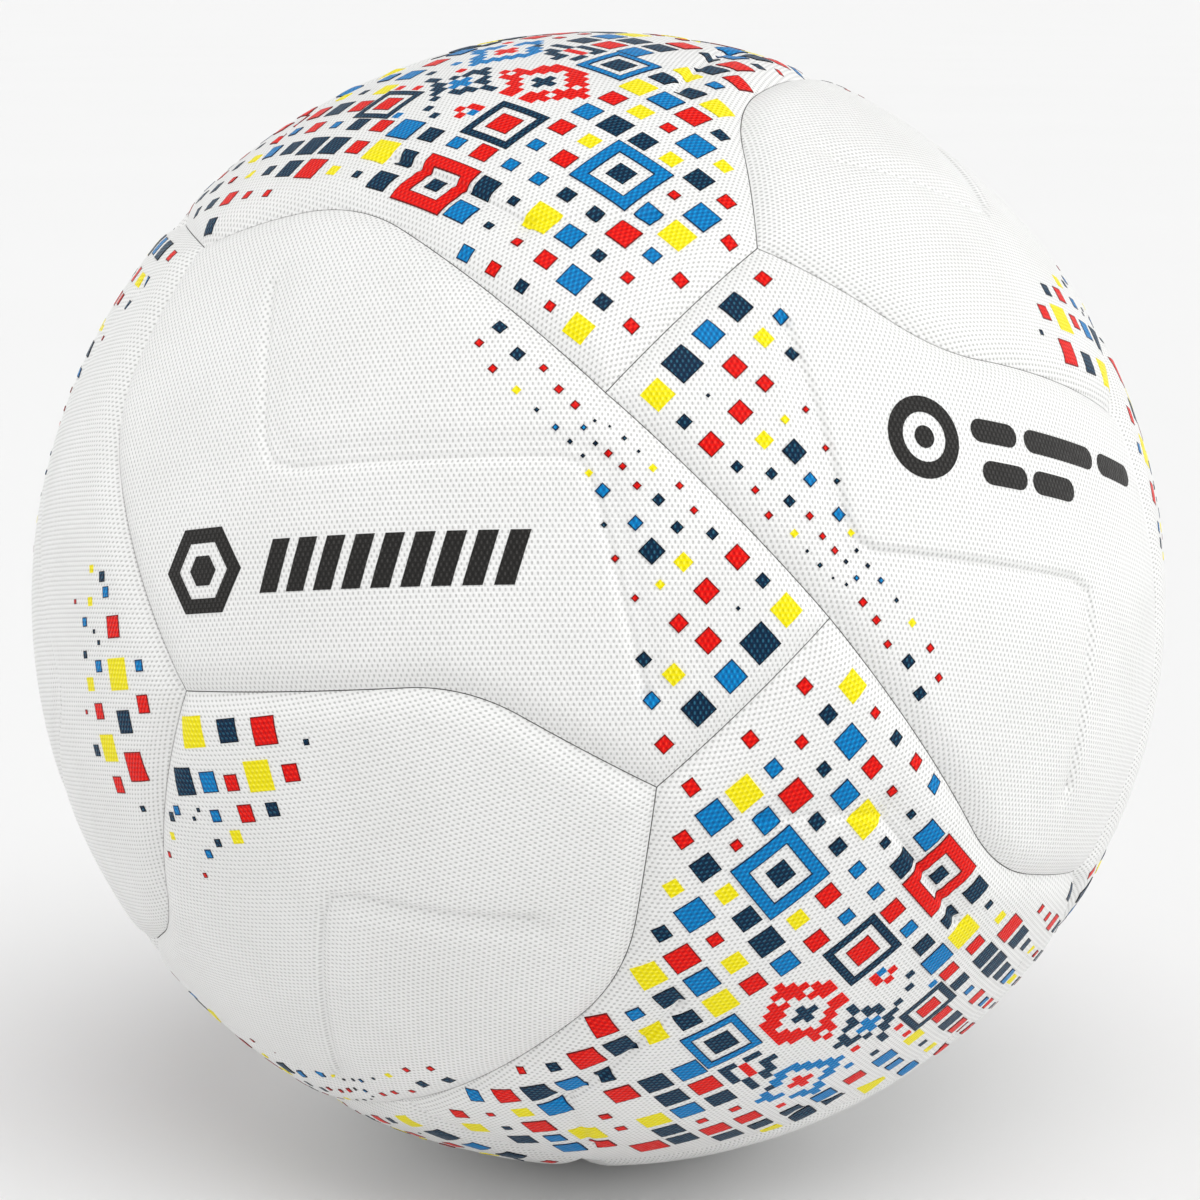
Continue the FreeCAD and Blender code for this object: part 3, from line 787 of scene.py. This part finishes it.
def cuts(size, hole, step):
    """Grid lines across a tile, at its edges, at its hole's edges and between them."""
    marks = sorted({-size / 2, size / 2} | ({-hole / 2, hole / 2} if hole else set()))
    lines = [marks[0]]
    for low, high in zip(marks, marks[1:]):
        steps = max(1, math.ceil((high - low) / step))
        lines += [low + (high - low) * (i + 1) / steps for i in range(steps)]
    return lines


def tile_mesh(size, hole, step):
    """Points and faces of a flat square slab with a grid on both sides, or of a square ring.
    Returns flat points, True for each that is on top, and the faces."""
    lines = cuts(size, hole, step)
    width = len(lines)
    count = width * width
    flat = np.array([(x, y) for y in lines for x in lines])

    def is_cell(i, j):
        """True for a cell of the slab that isn't in its hole."""
        if not (0 <= i < width - 1 and 0 <= j < width - 1):
            return False
        x, y = (lines[i] + lines[i + 1]) / 2, (lines[j] + lines[j + 1]) / 2
        return not hole or max(abs(x), abs(y)) > hole / 2

    faces = []
    for j in range(width - 1):
        for i in range(width - 1):
            if not is_cell(i, j):
                continue
            a = j * width + i
            b, c, d = a + 1, a + 1 + width, a + width
            faces += [[a, b, c, d], [d + count, c + count, b + count, a + count]]
            walls = ((a, b, i, j - 1), (b, c, i + 1, j), (c, d, i, j + 1), (d, a, i - 1, j))
            faces += [[q, p, p + count, q + count] for p, q, u, v in walls if not is_cell(u, v)]
    used = sorted({i for face in faces for i in face})
    place = {old: new for new, old in enumerate(used)}
    faces = [[place[i] for i in face] for face in faces]
    return flat[[i % count for i in used]], np.array(used) < count, faces


def print_tile(ink, panel, chart, middle, size, copies, tilt=0, hole=0, home=np.eye(3), edge=True):
    """One printed tile or square ring. Home is the turn that carries this kind of panel to it.
    Yellow has no edge line."""
    creased = panel.crease_gap(chart.lift(middle) @ home)[0] < CREASE_ZONE + size
    local, is_top, faces = tile_mesh(size, hole, FINE_TILE_STEP if creased else TILE_STEP)
    points = chart.lift(local @ spin(tilt) + middle)
    at_home = points @ home
    if panel.gap(at_home).min() < PRINT_MARGIN or not inside_panel(panel, at_home).all():
        return
    lift = CREASED_LIFT if creased else INK_LIFT
    radius = panel.radius(at_home) + np.where(is_top, lift, -INK_SINK)
    band = (hole / 2 if hole else SOLID, size / 2 if edge and ink != "Y" else NO_EDGE)
    flat = panel.chart.flatten(at_home)
    store(ink, points * radius[:, None], faces, flat, local, band, copies)


def print_plate(loops, copies):
    """A dark shape on the first wing, of any outline in its chart, with holes."""
    loops = [dense(np.asarray(loop, float)) for loop in loops]
    fill = hex_grid(loops[0].min(0), loops[0].max(0), PLATE_GRID)
    fill = fill[[in_outline(point, loops) for point in fill]]
    flat, top_count, faces = closed_sheet(loops, fill, fill)
    points = WING.chart.lift(flat)
    is_top = np.arange(len(flat)) < top_count
    radius = WING.radius(points) + np.where(is_top, INK_LIFT, -INK_SINK)
    store("G", points * radius[:, None], faces, flat, flat * 0, (SOLID, NO_EDGE), copies)


def in_outline(point, loops):
    """True where a flat point is well inside the first convex loop and outside the others."""
    near = min(np.hypot(*(loop - point).T).min() for loop in loops)
    in_hole = any(inside(point, hole) for hole in loops[1:])
    return near > PLATE_GRID / 2 and inside(point, loops[0]) and not in_hole


def dense(loop):
    """A flat loop with points added along its long edges."""
    result = []
    for a, b in zip(loop, np.roll(loop, -1, axis=0)):
        steps = max(1, math.ceil(np.hypot(*(b - a)) / PLATE_GRID))
        result += [a + (b - a) * i / steps for i in range(steps)]
    return np.array(result)


PRINT_MARGIN = 0.4  # clear skin between a tile and the edge of its panel
PLATE_GRID = 1.2
CLUSTER_TILT = 12

# Tiles as (x, y, size, ink) in mm. This band runs along the seam through the two-fold
# corners of a wing, in fading columns away from the panel's end.
BAND = [
    (20, -5.2, 4.2, "Y"), (13.7, -4.8, 2, "N"), (8, -5.2, 3.2, "R"), (2.4, -5.5, 1.6, "N"),
    (-2.4, -4.9, 1.1, "R"), (-6.9, -3.6, 1.1, "R"), (-12, -4.6, 1.1, "Y"), (-15.6, -4.2, 0.5, "N"),
    (-18.8, -4.2, 0.7, "N"), (-21.9, -4.4, 0.4, "N"), (-24.3, -5.4, 0.5, "N"), (-28.5, -5.6, 1.3, "R"),
    (-32.4, -5.4, 1.3, "R"), (-36.9, -4.3, 1.2, "R"), (-41.9, -5.3, 2, "N"), (-47.8, -3.5, 2, "N"),
    (20.8, -12.2, 5.2, "N"), (14, -11, 0.6, "N"), (8.3, -12.8, 3.2, "R"), (2.3, -12.2, 2.4, "Y"),
    (-2.4, -8.9, 1.6, "N"), (-7.7, -7.8, 1.6, "N"), (-11.8, -8.6, 1.1, "R"), (-15.7, -7.9, 1, "R"),
    (-18.9, -7.9, 1.1, "R"), (-21.6, -8.1, 0.7, "N"), (-24.8, -7.5, 0.8, "B"), (-28.2, -10.6, 0.9, "B"),
    (-32.6, -10.5, 0.7, "N"), (-37.5, -10.2, 1.2, "Y"), (-43.2, -10, 1.3, "R"), (-48.3, -8, 1.3, "R"),
    (21.3, -19.5, 4.2, "B"), (14.3, -18.2, 3.3, "R"), (8.8, -19.7, 2.4, "R"), (2.2, -17.5, 1.2, "Y"),
    (-2.6, -14.6, 3.2, "N"), (-7.7, -13.2, 1.9, "B"), (-15.3, -13, 1.9, "B"), (-19, -12.4, 1, "Y"),
    (-21.7, -11, 0.6, "N"), (-24.9, -10.7, 0.7, "N"), (-11.2, -16.9, 0.8, "N"), (-6, -19.6, 1, "R"),
    (0.9, -21.9, 1, "R"), (21.4, -27, 4.4, "N"), (14.3, -26.1, 2.8, "Y"), (9.1, -27.9, 2, "N"),
    (14.9, -31.6, 2.2, "B"), (21.7, -35.1, 2.5, "R"),
]

# Two clusters that fan out from the corner where three wings meet.
CLUSTER_ONE = [
    (3, -6.5, 5.5, "Y"), (11.5, -5, 4.2, "N"), (19.5, -4, 5, "R"), (28, -5, 1.1, "N"),
    (-0.4, -16, 5, "N"), (6, -15, 3.8, "B"), (11.5, -14.3, 3, "R"), (17.7, -12.2, 5.5, "Y"),
    (24.5, -10.8, 3.2, "R"), (6.5, -21.2, 2.3, "B"), (13.8, -19.6, 3.3, "R"), (19.8, -18, 2.6, "N"),
    (-3.7, -22, 1.8, "B"), (-5.8, -23.7, 1.7, "N"), (2.3, -20.8, 0.8, "N"), (0.8, -22.7, 0.8, "N"),
    (10.6, -24.5, 2.5, "Y"), (5.7, -26.5, 1.5, "N"), (2.6, -29.2, 1.7, "B"), (-6.7, -27.6, 1.4, "Y"),
    (-9.5, -32, 1.2, "R"), (0, -34, 1, "R"),
]
CLUSTER_TWO = [
    (-23.8, 17, 1.9, "N"), (-22, 14.5, 2, "B"), (-28, 17.8, 1.4, "Y"), (-27.5, 12, 1.6, "Y"),
    (-33.8, 11, 0.9, "R"), (-18.8, 8.8, 4, "R"), (-29.3, 8, 1.7, "B"), (-25.5, 6.9, 0.8, "N"),
    (-23.7, 5.2, 0.9, "N"), (-29, 2.1, 1.4, "N"), (-23.8, 0.9, 2.2, "B"), (-17.2, 0.6, 5.7, "Y"),
    (-10.5, 3.2, 2.1, "B"), (-9.6, -3.5, 3.3, "R"), (-27.2, -3, 2.5, "Y"), (-24.5, -7.5, 3, "R"),
    (-15.8, -7.8, 4.2, "N"), (-29.9, -8.7, 0.9, "R"), (-22.5, -14, 5, "Y"), (-14, -15.8, 5.5, "R"),
    (-27.5, -15.5, 2.2, "N"), (-21, -20.7, 3.2, "R"), (-14.5, -24, 1.2, "N"),
]

# The star's print is a lattice of tiles. Each row lists (column, ink, tile size in mm).
LATTICE_PITCH = 6.6
LATTICE_START = (2.6, 3.0)
STAR_ROWS = {
    -10: [(0, "Y", 4), (1, "R", 3)],
    -9: [(-1, "N", 4.5), (0, "N", 1.7), (1, "R", 1.5), (2, "B", 3)],
    -8: [(-2, "B", 5), (-1, "B", 3.5), (0, "R", 5), (1, "Y", 3.3), (2, "R", 4.3)],
    -7: [(-2, "R", 4), (-1, "Y", 5.5), (1, "B", 5), (2, "N", 5), (3, "R", 1.6)],
    -6: [(-3, "R", 6), (-1, "R", 2), (0, "R", 2), (2, "B", 4.5), (3, "N", 2.3)],
    -5: [(-3, "N", 5), (-2, "N", 5), (-1, "Y", 5), (1, "R", 5), (2, "N", 3), (3, "R", 5.3),
        (4, "N", 1.7)],
    -4: [(-4, "N", 5), (-3, "R", 5), (-2, "R", 2), (-1, "B", 5), (0, "N", 5), (1, "N", 5), (3, "N", 4.7),
        (4, "R", 4.5)],
    -3: [(-5, "Y", 3.6), (-4, "N", 4), (-3, "R", 4.5), (-2, "R", 2), (-1, "N", 4.7), (0, "R", 5),
        (1, "B", 5), (3, "Y", 4), (4, "B", 2.7), (5, "R", 2.5)],
    -2: [(-5, "N", 4.6), (-4, "N", 4), (3, "N", 4), (4, "N", 4.3), (5, "Y", 4.8)],
    -1: [(-7, "Y", 4.2), (-5, "N", 4.6), (-4, "B", 4.4), (3, "Y", 5), (4, "B", 5), (5, "R", 5),
        (6, "N", 2.8)],
    0: [(-8, "N", 2.4), (-6, "Y", 5), (-4, "R", 4), (3, "R", 4), (4, "Y", 3.7), (5, "R", 2.5),
        (6, "B", 5.4), (7, "Y", 2.8)],
    1: [(-7, "B", 4.2), (-5, "B", 3.5), (-4, "B", 4.5), (3, "B", 4.3), (4, "N", 5), (5, "N", 4),
        (6, "Y", 3.2), (7, "N", 4.2), (8, "R", 2.8)],
    2: [(-5, "N", 1.8), (-4, "Y", 3.8), (3, "R", 3.8), (4, "Y", 3.2), (7, "R", 1.8), (8, "B", 5),
        (9, "R", 2.5)],
    3: [(-5, "N", 4.8), (-4, "R", 4), (3, "B", 2.7), (4, "R", 3.8), (7, "B", 3.8), (8, "Y", 5)],
    4: [(-5, "R", 3.5), (-4, "B", 2.2), (-3, "N", 3.7), (-2, "R", 3.7), (-1, "B", 5.5), (0, "N", 3.7),
        (1, "B", 3), (2, "R", 4), (3, "B", 2.7), (4, "B", 2.7), (5, "N", 2.7), (6, "N", 2.5),
        (7, "R", 4.8), (8, "B", 2.7), (9, "R", 2.4)],
    5: [(-5, "N", 4), (-4, "N", 5.3), (-3, "N", 5), (-2, "R", 3.7), (-1, "Y", 5.5), (0, "N", 3.5),
        (3, "N", 4.2), (4, "N", 1.8), (5, "Y", 5.3), (6, "B", 4.2), (7, "N", 2.2), (8, "R", 2)],
    6: [(-5, "N", 2.6), (-4, "N", 4.5), (-3, "R", 5.3), (-2, "Y", 2.3), (-1, "N", 1.7), (0, "N", 4.5),
        (3, "B", 4.7), (4, "N", 1.5), (5, "R", 1.7), (6, "R", 3.2), (7, "B", 4.7), (8, "N", 2.7),
        (9, "R", 2.3)],
    7: [(-5, "R", 2), (-4, "R", 1.8), (4, "B", 2.7), (5, "R", 2.4), (6, "N", 2.2), (7, "R", 1.7),
        (8, "Y", 4.3)],
}
# Concentric squares: centre, then ink and size of the ring, size of its hole, ink and size of the core.
TARGETS = [
    ((13, 14.5), "B", 11, 7.8, "N", 4.8),
    ((39, -13), "B", 13, 8, "N", 4),
    ((13, -15), "N", 11.5, 8.2, "R", 5),
    ((-16.4, -16.2), "N", 10, 7, "R", 4.4),
    ((13.2, -33.5), "R", 12, 6.5, "N", 3),
]
# Stepped rings of small pixels round the star's centre: middle and reach in pixels, ink of
# the ring and of its core.
FIGURES = [
    ((5, 0), (6, 6), "R", "N"), ((-7, 6), (5, 5), "B", "R"),
    ((1, 9), (6, 3), "N", "R"), ((-4, -4), (5, 4), "N", "B"), ((4, -9), (4, 2), "R", "B"),
]
RING_INNER = 0.62  # where a stepped ring begins, as a share of its reach
RING_FILL = 0.86  # share of its pixels that are printed
CORE_REACH = 0.3
PIXEL = 1.65
LOOSE_PIXELS = 70
LOOSE_ZONE = (-14, 12)
PIXEL_CLEAR = 0.3  # clear skin between a pixel and a larger tile
THIRD_ARM_ROWS = range(2, 10)
THIRD_ARM_COLUMNS = range(-12, -5)


def print_wings():
    """The band on every wing, and the two clusters round each corner of three wings."""
    for x, y, size, ink in BAND:
        print_tile(ink, WING, BAND_CHART, (x, y), size, ALL_TURNS)
    for count, cluster in ((-1, CLUSTER_ONE), (-2, CLUSTER_TWO)):
        home = turn(FAR, 120 * count)
        for x, y, size, ink in cluster:
            print_tile(ink, WING, CORNER_CHART, (x, y), size, HALF_TURNS, tilt=CLUSTER_TILT, home=home)


def print_star_tile(middle, size, ink, hole=0, edge=True):
    """A tile or square ring on every star, but not on the valve's if the hole would cut it."""
    clear = math.hypot(*middle) > HOLE + LIP_REACH + size * math.sqrt(0.5)
    copies = [half for i, half in enumerate(HALF_TURNS) if clear or i != VALVE_COPY]
    print_tile(ink, STAR, STAR.chart, middle, size, copies, hole=hole, edge=edge)


def lattice_point(column, row):
    """Flat place of a cell of the star's lattice."""
    return (LATTICE_START[0] + LATTICE_PITCH * column, LATTICE_START[1] - LATTICE_PITCH * row)


def print_star():
    """The lattice, its fill on the third arm, the targets and the stepped figures."""
    for row, cells in STAR_ROWS.items():
        for column, ink, size in cells:
            print_star_tile(lattice_point(column, row), size, ink)
    rng = random.Random(7)
    for row in THIRD_ARM_ROWS:
        for column in THIRD_ARM_COLUMNS:
            ink, size = rng.choice("RBNYRN"), rng.uniform(1.4, 2.4 + 0.28 * (column + 12))
            print_star_tile(lattice_point(column, row), size, ink)
    for middle, ring_ink, ring, hole, core_ink, core in TARGETS:
        print_star_tile(middle, ring, ring_ink, hole=hole)
        print_star_tile(middle, core, core_ink)
    for (column, row), ink in figure_pixels(rng).items():
        print_star_tile((PIXEL * column, PIXEL * row), PIXEL, ink, edge=False)


def figure_pixels(rng):
    """Ink of each small pixel near the star's centre: the stepped rings and some loose ones."""
    pixels = {}
    for (x, y), (wide, high), ring, core in FIGURES:
        for i in range(-wide, wide + 1):
            for j in range(-high, high + 1):
                reach = abs(i) / wide + abs(j) / high
                if RING_INNER < reach <= 1.01 and rng.random() < RING_FILL:
                    pixels[x + i, y + j] = ring
                elif reach < CORE_REACH:
                    pixels[x + i, y + j] = core
    for _ in range(LOOSE_PIXELS):
        cell = (rng.randint(*LOOSE_ZONE), rng.randint(*LOOSE_ZONE))
        beside = any((cell[0] + i, cell[1] + j) in pixels for i in (-1, 0, 1) for j in (-1, 0, 1))
        if not beside:
            pixels[cell] = rng.choice("RNB")
    return {cell: ink for cell, ink in pixels.items() if not on_large_tile(cell)}


def on_large_tile(cell):
    """True where a pixel would touch a lattice tile or a target."""
    large = [(middle, ring) for middle, _, ring, _, _, _ in TARGETS]
    for row, cells in STAR_ROWS.items():
        large += [(lattice_point(column, row), size) for column, _, size in cells]
    away = [max(abs(PIXEL * cell[0] - x), abs(PIXEL * cell[1] - y)) - size / 2 for (x, y), size in large]
    return min(away) < PIXEL / 2 + PIXEL_CLEAR


def bar(x, y, width, height):
    """Flat outline of a bar with round ends."""
    radius = height / 2
    angle = np.linspace(-math.pi / 2, math.pi / 2, 9)
    cap = np.stack([np.cos(angle), np.sin(angle)], 1) * radius
    return np.concatenate([cap + (x + width / 2 - radius, y), -cap + (x - width / 2 + radius, y)])


HEXAGON_AT = (-49, -5)
SLANTED_BARS = 9
SLANTED_BAR = np.array([(-36.5, -9.5), (-33.1, -9.5), (-30.3, -0.5), (-33.7, -0.5)])
SLANTED_PITCH = 5.3
RING_AT = (6.8, -8.8)
BAR_HEIGHT = 4.2
# Bars with round ends, as (x, y, width).
ROUND_BARS = [
    (-46.5, -11.5, 14), (-27, -11.5, 21), (-9, -11.5, 11), (-24, -4.2, 12), (-11, -4.2, 11),
]


def print_marks():
    """Plain dark shapes on four of the wings: a hexagon and slanted bars on two of them,
    a ring and two lines of bars on the other two."""
    plain, other = HALF_TURNS[0::2], HALF_TURNS[1::2]
    outer, inner, core = [circle(radius, 6, HEXAGON_AT) for radius in (8.6, 5.6, 3.0)]
    print_plate([outer, inner], plain)
    print_plate([core], plain)
    for count in range(SLANTED_BARS):
        print_plate([SLANTED_BAR + (count * SLANTED_PITCH, 0)], plain)
    print_plate([circle(7.3, 40, RING_AT), circle(4.4, 32, RING_AT)], other)
    print_plate([circle(2.0, 20, RING_AT)], other)
    for x, y, width in ROUND_BARS:
        print_plate([bar(x, y, width, BAR_HEIGHT)], other)


# ---- building the ball

def place_layer(kind, build, material, cad_kind):
    """One layer of all sixteen panels, each piece in place of its CAD solid."""
    points, faces, chart = build(WING)
    for number, about in enumerate(ALL_TURNS, start=1):
        piece = make_piece("wing_%s_%02d" % (kind, number), points @ about.T, faces, material,
                           {"chart": chart})
        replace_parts(piece, "wing_%s_%02d" % (cad_kind, number))
    whole, holed = build(STAR), build(STAR, hole=True)
    for number, about in enumerate(HALF_TURNS):
        label = "valve" if number == VALVE_COPY else "%02d" % (number + 1)
        points, faces, chart = holed if number == VALVE_COPY else whole
        piece = make_piece("star_%s_%s" % (kind, label), points @ about.T, faces, material,
                           {"chart": chart})
        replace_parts(piece, "star_%s_%s" % (cad_kind, label))


def build_panels():
    """Skins, foam backings and the adhesive between them."""
    place_layer("panel", build_skin, skin_material(), "skin")
    place_layer("backing", build_foam, mottled_material("foam"), "foam")
    bond = mottled_material("bond")
    points, faces = build_bond()
    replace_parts(make_piece("seam_adhesive", points, faces, bond, {}), "seam_bond")


def build_print():
    """One piece per ink, holding all of its shapes."""
    print_wings()
    print_star()
    print_marks()
    for key, (name, colour, edge, light) in INKS.items():
        sheet = INKED[key]
        layers = {label: np.concatenate(sheet[label]) for label in ("chart", "tile", "band")}
        make_piece("print_" + name, np.concatenate(sheet["points"]), sheet["faces"],
                   ink_material("ink_" + name, colour, edge, light), layers)


def finish_inner_layers():
    """Materials of the CAD solids that stay: lining, bladder and valve."""
    butyl = mottled_material("butyl")
    chosen = {
        "lining": woven_material(),
        "bladder": butyl,
        "valve_patch": butyl,
        "valve_housing": mottled_material("valve_pale"),
        "valve_core": mottled_material("valve_dark"),
    }
    for name, material in chosen.items():
        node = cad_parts[name]
        node.data.materials.clear()
        node.data.materials.append(material)


# ---- stage, light and camera

def build_floor():
    """A large pale disc under the ball, with a barely mottled matt finish."""
    mesh = bpy.data.meshes.new("floor")
    edge = with_depth(circle(FLOOR_RADIUS, FLOOR_CORNERS)) + (0, 0, -BALL * MM)
    mesh.from_pydata(edge.tolist(), [], [list(range(FLOOR_CORNERS))])
    material, tree, shader = finish_with("floor_pale", Specular_IOR_Level=0.1, Roughness=0.9)
    where = add(tree, "TexCoord").outputs["Object"]
    tone = blend(tree, noise(tree, where, 1.5), (0.81, 0.81, 0.81, 1), (0.83, 0.83, 0.83, 1))
    tree.links.new(tone, shader.inputs["Base Color"])
    mesh.materials.append(material)
    floor = bpy.data.objects.new("floor", mesh)
    bpy.context.scene.collection.objects.link(floor)


def place_and_aim(thing, azimuth, elevation, distance):
    """Put a light or camera round the ball and point it at the centre. Azimuth 0 is -Y, 90 is +X."""
    azimuth, elevation = math.radians(azimuth), math.radians(elevation)
    level = math.cos(elevation)
    away = Vector((math.sin(azimuth) * level, -math.cos(azimuth) * level, math.sin(elevation)))
    thing.location = away * distance
    thing.rotation_euler = (-away).to_track_quat("-Z", "Y").to_euler()
    bpy.context.scene.collection.objects.link(thing)


def build_light():
    """A pale sky, brighter low down, a broad soft key from above and a fill on each side."""
    world = bpy.data.worlds.new("studio")
    world.use_nodes = True
    tree = world.node_tree
    height = add(tree, "SeparateXYZ", {0: add(tree, "TexCoord").outputs["Generated"]}).outputs[2]
    sky = tree.nodes["Background"]
    sky.inputs["Color"].default_value = (1.0, 1.0, 0.995, 1)
    tree.links.new(spread(tree, height, 0.2, 0.5, HORIZON, SKY), sky.inputs["Strength"])
    bpy.context.scene.world = world
    for name, (heading, elevation, strength, softness) in SUNS.items():
        data = bpy.data.lights.new(name, "SUN")
        data.energy = strength
        data.angle = math.radians(softness)
        lamp = bpy.data.objects.new(name, data)
        place_and_aim(lamp, CAMERA_AZIMUTH + heading, elevation, SUN_DISTANCE)


def build_camera():
    """A long lens, level with the ball's upper half and aimed at its centre."""
    data = bpy.data.cameras.new("camera")
    data.sensor_width = 36.0
    data.lens = LENS
    data.shift_x, data.shift_y = LENS_SHIFT
    camera = bpy.data.objects.new("camera", data)
    place_and_aim(camera, CAMERA_AZIMUTH, CAMERA_ELEVATION, CAMERA_DISTANCE)
    bpy.context.scene.camera = camera


FLOOR_RADIUS = 400.0  # metres, so that its edge lies on the horizon
FLOOR_CORNERS = 96
HORIZON = 0.925
SKY = 0.39
# Each light: degrees round from the camera, degrees up, strength, softness in degrees.
SUNS = {"key": (15, 62, 1.5, 45), "right": (85, 12, 1.55, 70), "left": (-95, 35, 0.74, 70)}
SUN_DISTANCE = 3.0
LENS = 92.9
LENS_SHIFT = (0.00125, -1 / 1200)  # shares of the picture's width
CAMERA_AZIMUTH = 40.836
CAMERA_ELEVATION = 11.109
CAMERA_DISTANCE = 0.6108

build_camera()
build_panels()
build_print()
finish_inner_layers()
build_floor()
build_light()
bpy.context.scene.view_settings.view_transform = "Standard"
